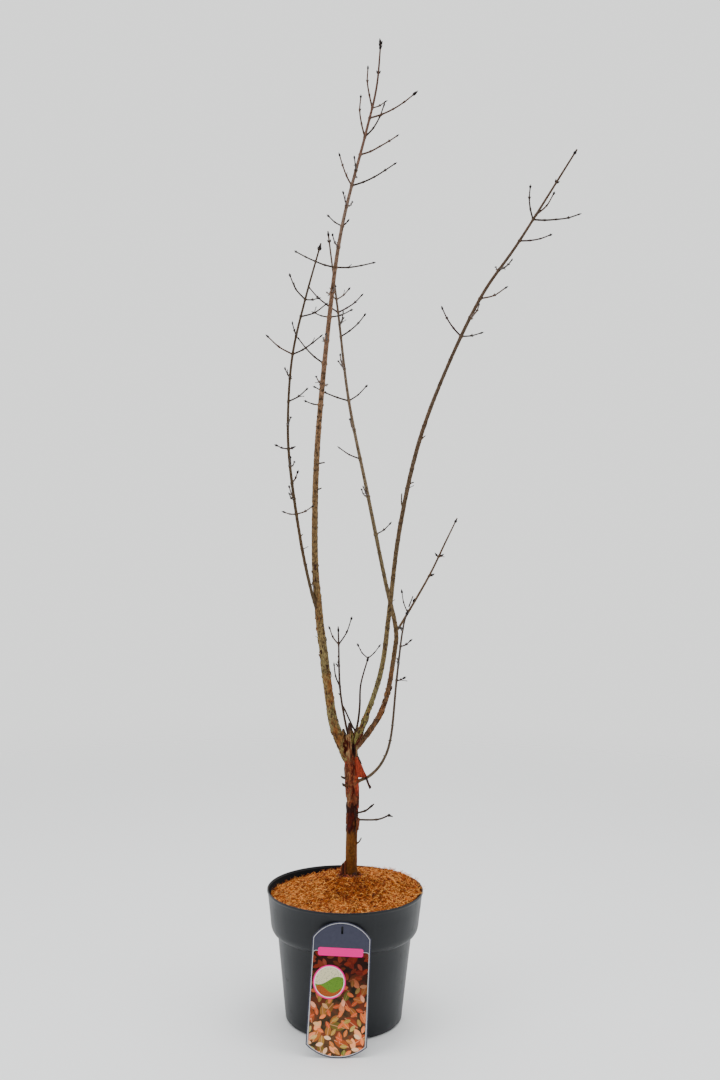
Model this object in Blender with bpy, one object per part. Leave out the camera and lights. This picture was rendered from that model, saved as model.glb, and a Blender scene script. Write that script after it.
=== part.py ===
"""A young paperbark maple in winter, bare of leaves, in a round nursery pot.

The origin is the centre of the pot's flat underside, +Z is up and -Y is the front, where the
care label leans. The trunk forks low into a leader and two boughs. Each of these ends where its
twigs begin, and carries on from there as the stem of a mass of opposite twigs.
"""
import math
import random

import bmesh
import bpy
import numpy as np
from mathutils import Matrix, Vector

MM = 0.001
GAP = 0.3 * MM  # between pieces that touch
MERGE = 0.001 * MM  # corners this near to each other are one
SMOOTH_ANGLE = 40  # degrees; edges sharper than this stay crisp

# The pot: a thin round container with a deep rim band over a tapered body
POT_WALL = 1.8 * MM
POT_FLOOR = 6 * MM
POT_SIDES = 64
# radius and height of the outer wall, from the foot to the lip
POT_OUTLINE = [
    (88.5, 0), (91.5, 3.5), (105.3, 134), (109.8, 136.5), (114.4, 142), (116.2, 149), (121.6, 198),
    (122.7, 199.5), (122.7, 203),
]
FOOT_NOTCHES = 8
FOOT_NOTCH_WIDTH = 15 * MM
FOOT_NOTCH_HEIGHT = 3.5 * MM
FOOT_NOTCH_DEPTH = 14 * MM

# The coir mat lies on the growing medium, and both rise to a low mound round the trunk
TRUNK_X = 9 * MM
TRUNK_Y = 36 * MM
MAT_RADIUS = 117.5 * MM
MAT_THICKNESS = 9 * MM
MAT_EDGE_HEIGHT = 198.5 * MM
MAT_MOUND = 16 * MM
MAT_MOUND_REACH = 58 * MM
MAT_MOUND_TOP = 19 * MM  # the mound is level this far round the trunk
MAT_TILT_X = 0.022  # higher on the right
MAT_TILT_Y = -0.016  # and at the front
MAT_HOLE = 17 * MM
MAT_HOLE_SIDES = 24
MAT_SIDES = 48
MAT_RINGS = 7
GROUND_HEIGHT = MAT_EDGE_HEIGHT + MAT_MOUND - MAT_THICKNESS  # of the trunk's foot, on the medium

# The care label: a thin card with a round head and foot, stood on end against the rim
LABEL_HEAD_WIDTH = 86.5 * MM
LABEL_FOOT_WIDTH = 89.5 * MM
LABEL_HEIGHT = 192 * MM
LABEL_THICKNESS = 0.8 * MM
LABEL_HEAD_RISE = 23 * MM
LABEL_FOOT_DROP = 17 * MM
LABEL_FOOT_Y = -148 * MM
LABEL_X = -9.5 * MM
LABEL_ROLL = 2.3  # degrees, its head leans to the right
LABEL_SLOT = (3 * MM, 11 * MM)
LABEL_SLOT_DROP = 12 * MM  # from the head's edge to the slot's middle
LABEL_ARC_POINTS = 13

# Limbs: x, y, height and radius in millimetres at the points that give each its bends
TRUNK_LINE = [
    (9, 36, GROUND_HEIGHT / MM, 14.5), (9, 36, 210, 11.2), (9, 36, 222, 9.6), (9, 36, 269, 9.2),
    (10, 36, 312, 9.6), (9, 36, 350, 10.0), (6.5, 36, 391, 10.2), (6, 36, 412, 11.0), (6, 36, 430, 10.0),
    (6, 36, 440, 6.5), (6, 36, 446, 3.0), (5, 36, 456, 2.2),
]
LEADER_LINE = [
    (6, 36, 390, 8.2), (-7, 36, 421, 8.0), (-24, 38, 476, 7.2), (-40, 43, 575, 6.9), (-49, 45, 642, 6.4),
    (-56, 47, 735, 5.3), (-54, 50, 900, 4.9), (-37, 46, 1109, 3.8), (-18, 38, 1253, 3.0),
    (17, 34, 1396, 2.3), (34, 32, 1471, 1.8), (40, 30, 1541, 1.3),
]
LEFT_STEM_LINE = [
    (-48, 45, 628, 2.9), (-60, 35, 667, 2.8), (-77, 1, 751, 2.7), (-94, -20, 870, 2.3), (-97, -26, 950, 2.0),
    (-91, -26, 1038, 2.0), (-73, -19, 1124, 1.8), (-50, -8, 1214, 1.4),
]
RIGHT_BOUGH_LINE = [
    (8, 34, 418, 4.5), (30, 21, 471, 4.4), (53, 7, 547, 4.2), (64, -5, 640, 4.0), (77, -19, 762, 3.7),
    (102, -34, 890, 3.5), (139, -44, 999, 3.0), (195, -53, 1122, 2.6), (253, -59, 1209, 2.2),
    (337, -66, 1346, 1.4),
]
MIDDLE_BOUGH_LINE = [
    (8, 38, 410, 4.4), (28, 41, 436, 4.3), (59, 53, 485, 4.1), (75, 73, 565, 4.1), (77, 83, 608, 4.0),
    (59, 97, 685, 3.6), (27, 116, 834, 3.1), (-5, 131, 984, 2.6), (-25, 141, 1134, 2.0),
    (-44, 146, 1272, 1.3),
]
SIDE_BRANCH_LINE = [(77, 82, 599, 2.1), (94, 89, 626, 2.1), (132, 101, 692, 1.8), (160, 111, 750, 1.5),
                    (179, 119, 789, 1.1)]
LOW_BRANCH_LINE = [(9, 36, 360, 2.2), (36, 31, 373, 2.2), (57, 9, 402, 2.1), (69, -12, 446, 2.0),
                   (76, -29, 535, 1.8), (84, -35, 612, 1.5), (92, -38, 646, 1.1)]
FRONT_SHOOT_LINE = [(6, 36, 427, 1.7), (-1, 30, 449, 1.6), (-12, 16, 514, 1.4), (-15, 6, 589, 1.2),
                    (-16, 2, 615, 1.0)]
BACK_SHOOT_LINE = [(8, 38, 425, 1.7), (19, 51, 481, 1.5), (21, 59, 517, 1.3), (33, 68, 561, 1.0)]
UPPER_SPRIG_LINE = [(10, 34, 311, 1.4), (30, 27, 318, 1.3), (38, 23, 325, 1.2), (44, 19, 331, 0.9)]
LOWER_SPRIG_LINE = [(10, 38, 301, 1.4), (49, 44, 300, 1.3), (69, 44, 307, 1.1), (75, 44, 305, 0.9)]

# Twigs stand in opposite pairs. Each row is one pair, left and right, as the front shows it:
# height of the joint, then length in millimetres and rise in degrees, left and right
LEADER_PAIRS = [
    (968, 24, 14, 0, 0), (1034, 58, 43, 0, 0), (1109, 26, 16, 39, 21), (1188, 68, 20, 64, 11),
    (1253, 28, 38, 12, 40), (1317, 52, 69, 77, 25), (1366, 0, 0, 73, 30), (1394, 64, 83, 60, 56),
    (1424, 0, 0, 80, 26), (1440, 64, 85, 23, 23),
]
LEFT_STEM_PAIRS = [
    (791, 20, 8, 28, 26), (839, 0, 0, 19, 64), (892, 19, 15, 8, 19), (965, 0, 0, 35, 36),
    (1038, 47, 34, 52, 32), (1097, 0, 0, 44, 24), (1124, 46, 56, 21, 10),
]
RIGHT_BOUGH_PAIRS = [
    (1065, 53, 56, 31, 11), (1122, 0, 0, 43, 21), (1209, 0, 0, 48, 12), (1241, 50, 83, 69, 4),
    (1248, 0, 0, 43, 50),
]
MIDDLE_BOUGH_PAIRS = [
    (760, 0, 0, 31, 36), (886, 40, 28, 0, 0), (984, 62, 22, 40, 42), (1093, 0, 0, 54, 40),
    (1134, 63, 40, 51, 38), (1156, 11, 44, 28, 42),
]
SIDE_BRANCH_PAIRS = [(692, 0, 0, 6, 20), (724, 5, 40, 6, 20)]
LOW_BRANCH_PAIRS = [(535, 0, 0, 12, 18), (588, 0, 0, 18, 29), (642, 32, 76, 20, 62)]
FRONT_SHOOT_PAIRS = [(518, 36, 75, 0, 0), (586, 30, 59, 46, 65)]
BACK_SHOOT_PAIRS = [(558, 27, 50, 27, 50)]

# Each stem: its name, its line, where its twigs begin, its pairs, the length of the pairs between
# those, which point to the front and back, and the limbs that its foot stands on
STEMS = [
    ("leader", LEADER_LINE, 955, LEADER_PAIRS, 52, ["trunk"]),
    ("left_stem", LEFT_STEM_LINE, 780, LEFT_STEM_PAIRS, 34, ["leader"]),
    ("right_bough", RIGHT_BOUGH_LINE, 1052, RIGHT_BOUGH_PAIRS, 50, ["trunk", "leader"]),
    ("middle_bough", MIDDLE_BOUGH_LINE, 746, MIDDLE_BOUGH_PAIRS, 50, ["trunk", "leader", "right_bough"]),
    ("side_branch", SIDE_BRANCH_LINE, 664, SIDE_BRANCH_PAIRS, 26, ["middle_bough"]),
    ("low_branch", LOW_BRANCH_LINE, 505, LOW_BRANCH_PAIRS, 24, ["trunk"]),
    ("front_shoot", FRONT_SHOOT_LINE, None, FRONT_SHOOT_PAIRS, 24, ["trunk"]),
    ("back_shoot", BACK_SHOOT_LINE, None, BACK_SHOOT_PAIRS, 22, ["trunk"]),
    ("upper_sprig", UPPER_SPRIG_LINE, None, [], 0, ["trunk"]),
    ("lower_sprig", LOWER_SPRIG_LINE, None, [], 0, ["trunk"]),
]
LIMB_STEP = 22 * MM
LIMB_SIDES = [(10 * MM, 12), (5 * MM, 10), (2 * MM, 8)]  # a limb with a foot over this radius
STEM_SIDES = 6
TWIG_SIDES = 3

# How a twig grows, angles in degrees
TWIG_JOINT = 19 * MM
TWIG_RADIUS = 1.0 * MM
TWIG_RADIUS_PER_LENGTH = 0.006  # longer twigs are stouter
TWIG_TAPER = 0.35
TWIG_UPTURN = 8  # degrees that a twig rises less at its foot and more at its tip
TWIG_SHARE_OF_STEM = 0.8
TWIG_ROOM = 1.6 * MM  # between a twig and anything that it doesn't grow on
TURN_WANDER = 7  # at each joint
RISE_WANDER = 5
PAIR_TURN = 20  # a visible twig turns this far to the front or back at most
BUD_LENGTH = 5 * MM
BUD_PROFILE = [(0.35, 0.95), (1.0, 0.12)]  # share of the bud's length, share of the twig's radius

# The pairs between the visible ones
PAIR_SPREAD = 38 * MM  # the least height between two visible pairs that have one between them
BETWEEN_TURN = 16
BETWEEN_RISE = (5, 28)
BETWEEN_LENGTH = (0.6, 1.25)  # shares of the stem's own length for them
SAMPLE_STEP = 2 * MM  # along a twig, where its room is looked at

COLOURS = {
    "pot": ((0.035, 0.042, 0.050), 0.42),
    "growing_medium": ((0.040, 0.024, 0.014), 0.95),
    "coir_mat": ((0.42, 0.17, 0.04), 0.95),
    "care_label": ((0.10, 0.09, 0.12), 0.45),
    "bark": ((0.30, 0.10, 0.035), 0.75),
    "twig": ((0.10, 0.055, 0.040), 0.7),
}


def clear_scene():
    for thing in list(bpy.data.objects):
        bpy.data.objects.remove(thing, do_unlink=True)


def finish_material(name, colour, roughness):
    material = bpy.data.materials.new(name)
    material.use_nodes = True
    shader = material.node_tree.nodes["Principled BSDF"]
    shader.inputs["Base Color"].default_value = (*colour, 1.0)
    shader.inputs["Roughness"].default_value = roughness
    shader.inputs["Metallic"].default_value = 0.0
    return material


def shade(mesh):
    mesh.shade_smooth()
    mesh.set_sharp_from_angle(angle=math.radians(SMOOTH_ANGLE))


def place(name, bm, finish=None):
    """Turn a bmesh into a named object, with its own material unless it is a tool."""
    bmesh.ops.remove_doubles(bm, verts=bm.verts, dist=MERGE)
    bmesh.ops.recalc_face_normals(bm, faces=bm.faces)
    mesh = bpy.data.meshes.new(name)
    bm.to_mesh(mesh)
    bm.free()
    shade(mesh)
    if finish:
        mesh.materials.append(finish_material(name, *COLOURS[finish]))
    piece = bpy.data.objects.new(name, mesh)
    bpy.context.collection.objects.link(piece)
    return piece


def remove(piece):
    mesh = piece.data
    bpy.data.objects.remove(piece, do_unlink=True)
    bpy.data.meshes.remove(mesh)


def boolean(base, operation, tools, solver="EXACT"):
    """Apply one Boolean with all the tools in a collection, then drop them."""
    bundle = bpy.data.collections.new("bundle")
    bpy.context.scene.collection.children.link(bundle)
    for tool in tools:
        for owner in list(tool.users_collection):
            owner.objects.unlink(tool)
        bundle.objects.link(tool)
    modifier = base.modifiers.new("fuse", "BOOLEAN")
    modifier.operation = operation
    modifier.solver = solver
    modifier.operand_type = "COLLECTION"
    modifier.collection = bundle
    shape = base.evaluated_get(bpy.context.evaluated_depsgraph_get())
    joined = bpy.data.meshes.new_from_object(shape)
    old = base.data
    base.modifiers.clear()
    base.data = joined
    bpy.data.meshes.remove(old)
    joined.name = base.name
    for tool in list(bundle.objects):
        remove(tool)
    bpy.data.collections.remove(bundle)
    keep_one_body(base)


def keep_one_body(piece):
    """Drop any loose scrap that a Boolean left beside the piece."""
    bm = bmesh.new()
    bm.from_mesh(piece.data)
    waiting = set(bm.faces)
    islands = []
    while waiting:
        front = [waiting.pop()]
        island = list(front)
        while front:
            for edge in front.pop().edges:
                for face in edge.link_faces:
                    if face in waiting:
                        waiting.remove(face)
                        island.append(face)
                        front.append(face)
        islands.append(island)
    islands.sort(key=lambda island: sum(face.calc_area() for face in island), reverse=True)
    for scrap in islands[1:]:
        bmesh.ops.delete(bm, geom=scrap, context="FACES")
    bmesh.ops.triangulate(bm, faces=bm.faces)
    bm.to_mesh(piece.data)
    bm.free()
    shade(piece.data)


def turned(outline, sides):
    """Spin an outline of radius and height once round the Z axis."""
    bm = bmesh.new()
    corners = [bm.verts.new((radius, 0, height)) for radius, height in outline]
    edges = [bm.edges.new(pair) for pair in zip(corners, corners[1:])]
    bmesh.ops.spin(
        bm, geom=corners + edges, cent=(0, 0, 0), axis=(0, 0, 1), angle=math.tau, steps=sides, use_merge=True)
    bmesh.ops.remove_doubles(bm, verts=bm.verts, dist=MERGE)
    return bm


def pot_outer():
    return [(radius * MM, height * MM) for radius, height in POT_OUTLINE]


def pot_inner(inset):
    """The wall's inner side from the lip down to the floor, moved in by a further inset."""
    side = [(radius - POT_WALL - inset, height) for radius, height in reversed(pot_outer()[2:])]
    foot_radius = pot_outer()[1][0] - POT_WALL - inset
    return side + [(foot_radius, POT_FLOOR + inset)]


def make_pot():
    outline = [(0, 0)] + pot_outer() + pot_inner(0) + [(0, POT_FLOOR)]
    pot = place("pot", turned(outline, POT_SIDES), "pot")
    notches = []
    notch_size = (2 * FOOT_NOTCH_DEPTH, FOOT_NOTCH_WIDTH, 2 * FOOT_NOTCH_HEIGHT)
    for turn in range(FOOT_NOTCHES):
        notch = bmesh.new()
        bmesh.ops.create_cube(notch, size=1)
        bmesh.ops.scale(notch, verts=notch.verts, vec=notch_size)
        bmesh.ops.translate(notch, verts=notch.verts, vec=(pot_outer()[0][0], 0, 0))
        angle = math.tau * (turn + 0.5) / FOOT_NOTCHES
        bmesh.ops.rotate(notch, verts=notch.verts, cent=(0, 0, 0), matrix=Matrix.Rotation(angle, 3, "Z"))
        notches.append(place("notch", notch))
    boolean(pot, "DIFFERENCE", notches)


def mat_height(x, y):
    """Height of the mat's upper side, which is level on top of the mound."""
    from_trunk = math.hypot(x - TRUNK_X, y - TRUNK_Y)
    mound = MAT_MOUND * math.exp(-((max(0.0, from_trunk - MAT_MOUND_TOP) / MAT_MOUND_REACH) ** 2))
    tilt = (x * MAT_TILT_X + y * MAT_TILT_Y) * min(1.0, (from_trunk / MAT_MOUND_TOP) ** 2)
    return MAT_EDGE_HEIGHT + mound + tilt


def make_growing_medium():
    """Compost fills the pot up to the underside of the mat, 0.3 mm clear of the wall."""
    wall = [spot for spot in reversed(pot_inner(GAP)) if spot[1] < MAT_EDGE_HEIGHT - 2 * MAT_THICKNESS]
    rings = [(MAT_RADIUS * ring / MAT_RINGS, MAT_EDGE_HEIGHT) for ring in range(MAT_RINGS, -1, -1)]
    bm = turned([(0, wall[0][1])] + wall + rings, MAT_SIDES)
    for corner in bm.verts:
        if corner.co.z > MAT_EDGE_HEIGHT - MAT_THICKNESS:
            corner.co.z = mat_height(corner.co.x, corner.co.y) - MAT_THICKNESS - GAP
    place("growing_medium", bm, "growing_medium")


def make_coir_mat():
    """A round mat of coconut fibre with a hole for the trunk."""
    rings = [MAT_RADIUS * ring / MAT_RINGS for ring in range(MAT_RINGS + 1)]
    under = [(radius, 0.0) for radius in rings]
    over = [(radius, MAT_THICKNESS) for radius in reversed(rings)]
    bm = turned(under + over, MAT_SIDES)
    for corner in bm.verts:
        corner.co.z += mat_height(corner.co.x, corner.co.y) - MAT_THICKNESS
    mat = place("coir_mat", bm, "coir_mat")
    hole = bmesh.new()
    bmesh.ops.create_cone(
        hole, cap_ends=True, segments=MAT_HOLE_SIDES, radius1=MAT_HOLE, radius2=MAT_HOLE,
        depth=8 * MAT_THICKNESS)
    bmesh.ops.translate(hole, verts=hole.verts, vec=(TRUNK_X, TRUNK_Y, MAT_EDGE_HEIGHT))
    boolean(mat, "DIFFERENCE", [place("hole", hole)])


def arc(half_width, rise):
    """Points from +half_width to -half_width over an arc that rises by rise in the middle."""
    radius = (half_width ** 2 + rise ** 2) / (2 * rise)
    reach = math.asin(half_width / radius)
    return [
        (radius * math.sin(angle), radius * math.cos(angle) - radius + rise)
        for angle in np.linspace(reach, -reach, LABEL_ARC_POINTS)]


def make_care_label():
    shoulder = LABEL_HEIGHT - LABEL_HEAD_RISE
    head = [(x, shoulder + z) for x, z in arc(LABEL_HEAD_WIDTH / 2, LABEL_HEAD_RISE)]
    foot = [(-x, LABEL_FOOT_DROP - z) for x, z in arc(LABEL_FOOT_WIDTH / 2, LABEL_FOOT_DROP)]
    bm = bmesh.new()
    card = bm.faces.new([bm.verts.new((x, 0, z)) for x, z in head + foot])
    pushed = bmesh.ops.extrude_face_region(bm, geom=[card], use_keep_orig=True)
    lifted = [item for item in pushed["geom"] if isinstance(item, bmesh.types.BMVert)]
    bmesh.ops.translate(bm, verts=lifted, vec=(0, LABEL_THICKNESS, 0))
    label = place("care_label", bm, "care_label")
    slot = bmesh.new()
    bmesh.ops.create_cube(slot, size=1)
    bmesh.ops.scale(slot, verts=slot.verts, vec=(LABEL_SLOT[0], 6 * LABEL_THICKNESS, LABEL_SLOT[1]))
    bmesh.ops.translate(slot, verts=slot.verts, vec=(0, 0, LABEL_HEIGHT - LABEL_SLOT_DROP))
    boolean(label, "DIFFERENCE", [place("slot", slot)])
    lean_label(label)


def lean_label(label):
    """Roll the card a little, then lean it back until its head is 0.3 mm off the rim band."""
    radii, heights = zip(*pot_outer())
    lean = 0.0
    for _ in range(5):
        band = np.interp(LABEL_HEIGHT * math.cos(lean), heights, radii)
        lean = math.asin((-LABEL_FOOT_Y - band - GAP - LABEL_THICKNESS) / LABEL_HEIGHT)
    label.rotation_euler = (-lean, math.radians(LABEL_ROLL), 0)
    bpy.context.view_layer.update()
    lowest = min((label.matrix_world @ corner.co).z for corner in label.data.vertices)
    label.location = (LABEL_X, LABEL_FOOT_Y, -lowest)


def smooth_line(points, step):
    """A smooth curve through x, y, height and radius points, as (spot, radius) pairs."""
    knots = np.array(points, dtype=float) * MM
    padded = np.vstack([2 * knots[0] - knots[1], knots, 2 * knots[-1] - knots[-2]])
    line = []
    for before, start, end, after in zip(padded, padded[1:], padded[2:], padded[3:]):
        parts = max(1, round(np.linalg.norm((end - start)[:3]) / step))
        for part in range(parts):
            t = part / parts
            blend = 0.5 * (
                2 * start + (end - before) * t + (2 * before - 5 * start + 4 * end - after) * t ** 2
                + (3 * start - before - 3 * end + after) * t ** 3)
            radius = start[3] + (end[3] - start[3]) * t
            line.append((Vector(blend[:3]), float(radius)))
    line.append((Vector(knots[-1][:3]), float(knots[-1][3])))
    return line


def split_line(line, height):
    """Cut a line at a height into a lower and an upper part with the gap between them."""
    for index, ((low, low_radius), (high, high_radius)) in enumerate(zip(line, line[1:])):
        if low.z <= height < high.z:
            share = (height - low.z) / (high.z - low.z)
            spot = low.lerp(high, share)
            radius = low_radius + (high_radius - low_radius) * share
            half_gap = (high - low).normalized() * (GAP / 2)
            lower = line[:index + 1] + [(spot - half_gap, radius)]
            upper = [(spot + half_gap, radius)] + line[index + 1:]
            return lower, upper
    raise ValueError(f"no part of the line is at {height}")


def profile(sides):
    """A closed outline of unit radius that bars are drawn along."""
    name = f"profile_{sides}"
    if name not in bpy.data.objects:
        outline = bpy.data.curves.new(name, "CURVE")
        spline = outline.splines.new("POLY")
        spline.points.add(sides - 1)
        spline.use_cyclic_u = True
        for index, point in enumerate(spline.points):
            turn = math.tau * index / sides
            point.co = (math.cos(turn), math.sin(turn), 0, 1)
        guide = bpy.data.objects.new(name, outline)
        guide.hide_render = True
        guide.display_type = "WIRE"
        bpy.context.collection.objects.link(guide)
    return bpy.data.objects[name]


def bar(line, sides, spare=0.0):
    """A round bar with flat ends along a line of spots and radii."""
    curve = bpy.data.curves.new("bar", "CURVE")
    curve.dimensions = "3D"
    curve.bevel_mode = "OBJECT"
    curve.bevel_object = profile(sides)
    curve.use_fill_caps = True
    spline = curve.splines.new("POLY")
    spline.points.add(len(line) - 1)
    for point, (spot, radius) in zip(spline.points, line):
        point.co = (*spot, 1)
        point.radius = radius + spare
    guide = bpy.data.objects.new("bar", curve)
    bpy.context.collection.objects.link(guide)
    mesh = bpy.data.meshes.new_from_object(guide.evaluated_get(bpy.context.evaluated_depsgraph_get()))
    bm = bmesh.new()
    bm.from_mesh(mesh)
    bpy.data.objects.remove(guide, do_unlink=True)
    bpy.data.curves.remove(curve)
    bpy.data.meshes.remove(mesh)
    return bm


def aim(heading, rise):
    """A direction from a compass heading, 0 to the right and 90 to the back, and a rise."""
    heading, rise = math.radians(heading), math.radians(rise)
    return Vector((math.cos(rise) * math.cos(heading), math.cos(rise) * math.sin(heading), math.sin(rise)))


def twig_line(rng, start, heading, rise, length, radius):
    """A twig's line: short joints that wander a little, then the bud at its tip."""
    joints = max(2, round(length / TWIG_JOINT))
    spot = start.copy()
    line = [(spot.copy(), radius)]
    for joint in range(joints):
        bent = rise + TWIG_UPTURN * (2 * joint / (joints - 1) - 1)
        spot = spot + aim(heading, bent) * (length / joints)
        line.append((spot.copy(), radius * (1 - TWIG_TAPER * (joint + 1) / joints)))
        heading += rng.uniform(-TURN_WANDER, TURN_WANDER)
        rise += rng.uniform(-RISE_WANDER, RISE_WANDER)
    tip = aim(heading, rise + TWIG_UPTURN) * BUD_LENGTH
    return line + [(spot + tip * along, radius * width) for along, width in BUD_PROFILE]


def spot_at(line, height):
    """Where a line first passes a height, and its radius there."""
    for (low, low_radius), (high, high_radius) in zip(line, line[1:]):
        if low.z <= height <= high.z:
            share = (height - low.z) / (high.z - low.z)
            return low.lerp(high, share), low_radius + (high_radius - low_radius) * share
    return line[-1]


def pairs_of(name, pairs, between):
    """Every twig of a stem: a seed word, its height, heading, rise and length."""
    twigs = []
    for height, left, left_rise, right, right_rise in pairs:
        rng = random.Random(f"{name} {height}")
        for side, base, length, rise in (("left", 180, left, left_rise), ("right", 0, right, right_rise)):
            heading = base + rng.uniform(-PAIR_TURN, PAIR_TURN)
            if length:
                twigs.append((f"{name} {height} {side}", height, heading, rise, length))
    for (low, *_), (high, *_) in zip(pairs, pairs[1:]):
        if (high - low) * MM < PAIR_SPREAD:
            continue
        height = (low + high) / 2
        rng = random.Random(f"{name} between {height}")
        for side, base in (("front", -90), ("back", 90)):
            length = between * rng.uniform(*BETWEEN_LENGTH)
            heading = base + rng.uniform(-BETWEEN_TURN, BETWEEN_TURN)
            twigs.append((f"{name} {height} {side}", height, heading, rng.uniform(*BETWEEN_RISE), length))
    return twigs


def grow(name, stem, pairs, between, taken):
    """All twigs of a mass that touch no other limb or mass."""
    grown = []
    for word, height, heading, rise, length in pairs_of(name, pairs, between):
        start, stem_radius = spot_at(stem, height * MM)
        radius = min(TWIG_RADIUS + TWIG_RADIUS_PER_LENGTH * length * MM, TWIG_SHARE_OF_STEM * stem_radius)
        line = twig_line(random.Random(word), start, heading, rise, length * MM, radius)
        if has_room(line, name, taken):
            grown.append(line)
    return grown


def samples(line):
    """Points set close along a line, with the radius there."""
    rows = []
    for (start, start_radius), (end, end_radius) in zip(line, line[1:]):
        parts = max(1, math.ceil((end - start).length / SAMPLE_STEP))
        for part in range(parts + 1):
            share = part / parts
            rows.append((*start.lerp(end, share), start_radius + (end_radius - start_radius) * share))
    return np.array(rows)


def has_room(line, name, taken):
    """Whether a twig stays clear of every limb and mass but its own."""
    mine = samples(line)
    for owner, theirs in taken:
        if owner == name:
            continue
        apart = np.linalg.norm(mine[:, None, :3] - theirs[None, :, :3], axis=2)
        if (apart - mine[:, None, 3] - theirs[None, :, 3]).min() < TWIG_ROOM:
            return False
    return True


def sides_for(line):
    """More sides on a limb with a thicker foot."""
    for radius, sides in LIMB_SIDES:
        if line[0][1] > radius:
            return sides
    return STEM_SIDES


def make_tree():
    lines = {"trunk": smooth_line(TRUNK_LINE, LIMB_STEP)}
    lines.update({name: smooth_line(points, LIMB_STEP) for name, points, *_ in STEMS})
    taken = [(name, samples(line)) for name, line in lines.items()]
    place("trunk", bar(lines["trunk"], sides_for(lines["trunk"])), "bark")
    for name, _, twigs_from, pairs, between, seats in STEMS:
        line = lines[name]
        if twigs_from:
            lower, stem = split_line(line, twigs_from * MM)
            bough = place(name, bar(lower, sides_for(line)), "bark")
            cut_clear(bough, seats, lines)
        else:
            stem = line
        twigs = grow(name, stem, pairs, between, taken)
        mass = place(f"{name}_twigs", bar(stem, STEM_SIDES), "twig")
        if not twigs_from:
            cut_clear(mass, seats, lines)
        if twigs:
            boolean(mass, "UNION", [place("twig", bar(twig, TWIG_SIDES)) for twig in twigs], "MANIFOLD")
        taken += [(name, samples(twig)) for twig in twigs]


def cut_clear(piece, seats, lines):
    """Shape a limb's foot to the limbs that it stands on, 0.3 mm clear of them."""
    fatter = [place("seat", bar(lines[seat], sides_for(lines[seat]), GAP)) for seat in seats]
    boolean(piece, "DIFFERENCE", fatter)


clear_scene()
make_pot()
make_growing_medium()
make_coir_mat()
make_care_label()
make_tree()
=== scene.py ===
"""A young paperbark maple in winter, bare of leaves, in a round nursery pot with a mat of coir.

The pieces follow the plant from the pot upwards. Lengths are in metres, +Z is up and -Y is the front.
"""
import math
import random

import bmesh
import bpy
import numpy as np
from mathutils import Euler, Matrix, Vector, noise
from mathutils.kdtree import KDTree


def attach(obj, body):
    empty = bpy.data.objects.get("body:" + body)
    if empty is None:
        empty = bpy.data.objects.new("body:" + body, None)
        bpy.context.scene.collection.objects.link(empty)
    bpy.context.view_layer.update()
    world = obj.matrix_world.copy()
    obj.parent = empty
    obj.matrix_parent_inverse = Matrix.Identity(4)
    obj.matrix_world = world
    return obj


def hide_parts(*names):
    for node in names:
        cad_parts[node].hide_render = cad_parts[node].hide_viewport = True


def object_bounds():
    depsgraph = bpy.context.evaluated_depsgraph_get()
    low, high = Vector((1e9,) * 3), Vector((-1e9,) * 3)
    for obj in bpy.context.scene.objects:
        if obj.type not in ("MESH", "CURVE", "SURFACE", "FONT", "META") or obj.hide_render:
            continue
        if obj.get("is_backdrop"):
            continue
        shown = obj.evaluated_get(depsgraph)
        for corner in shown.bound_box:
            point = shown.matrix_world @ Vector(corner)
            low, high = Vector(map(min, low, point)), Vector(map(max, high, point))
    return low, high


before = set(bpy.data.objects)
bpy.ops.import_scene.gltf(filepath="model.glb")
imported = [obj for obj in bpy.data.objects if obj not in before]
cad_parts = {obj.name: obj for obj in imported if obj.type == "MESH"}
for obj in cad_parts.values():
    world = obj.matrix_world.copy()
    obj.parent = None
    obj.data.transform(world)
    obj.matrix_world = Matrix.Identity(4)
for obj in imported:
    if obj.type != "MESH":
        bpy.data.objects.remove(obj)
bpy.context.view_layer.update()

MM = 0.001


# The studio: a camera at half the plant's height, a pale floor that fades into a pale surround, and soft
# light from large panels on both sides and above.
LENS_MM = 38.67
EYE = (0.0167, -1.824, 0.7735)
EYE_DIP = 0.685  # degrees below level
EYE_ROLL = 0.7
FLOOR_RADIUS = 4.0
FLOOR_DROP = 0.2 * MM  # keeps it clear of the pot's foot
FLOOR_FADE = (1.1, 3.0)  # metres from the pot, where the floor turns into the surround
SURROUND = (0.905, 0.915, 0.905)
FLOOR_COLOUR = (0.90, 0.91, 0.92)
SEEN_STRENGTH = 1.6  # how bright the camera sees the surround
SHADE_FROM = (-0.9, 0.5)  # its light is weaker from the front, where the room is dark
SHADE_TO = (0.25, 1.75)
LIT_SPOT = (0, 0, 0.6)  # what the panels face


class Signal:
    """One output of a shader node, which takes plain arithmetic."""

    def __init__(self, finish, socket):
        self.finish = finish
        self.socket = socket

    def __add__(self, other):
        return self.finish.math("ADD", self, other)

    __radd__ = __add__

    def __sub__(self, other):
        return self.finish.math("SUBTRACT", self, other)

    def __rsub__(self, other):
        return self.finish.math("SUBTRACT", other, self)

    def __mul__(self, other):
        return self.finish.math("MULTIPLY", self, other)

    __rmul__ = __mul__

    def __truediv__(self, other):
        return self.finish.math("DIVIDE", self, other)


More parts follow.
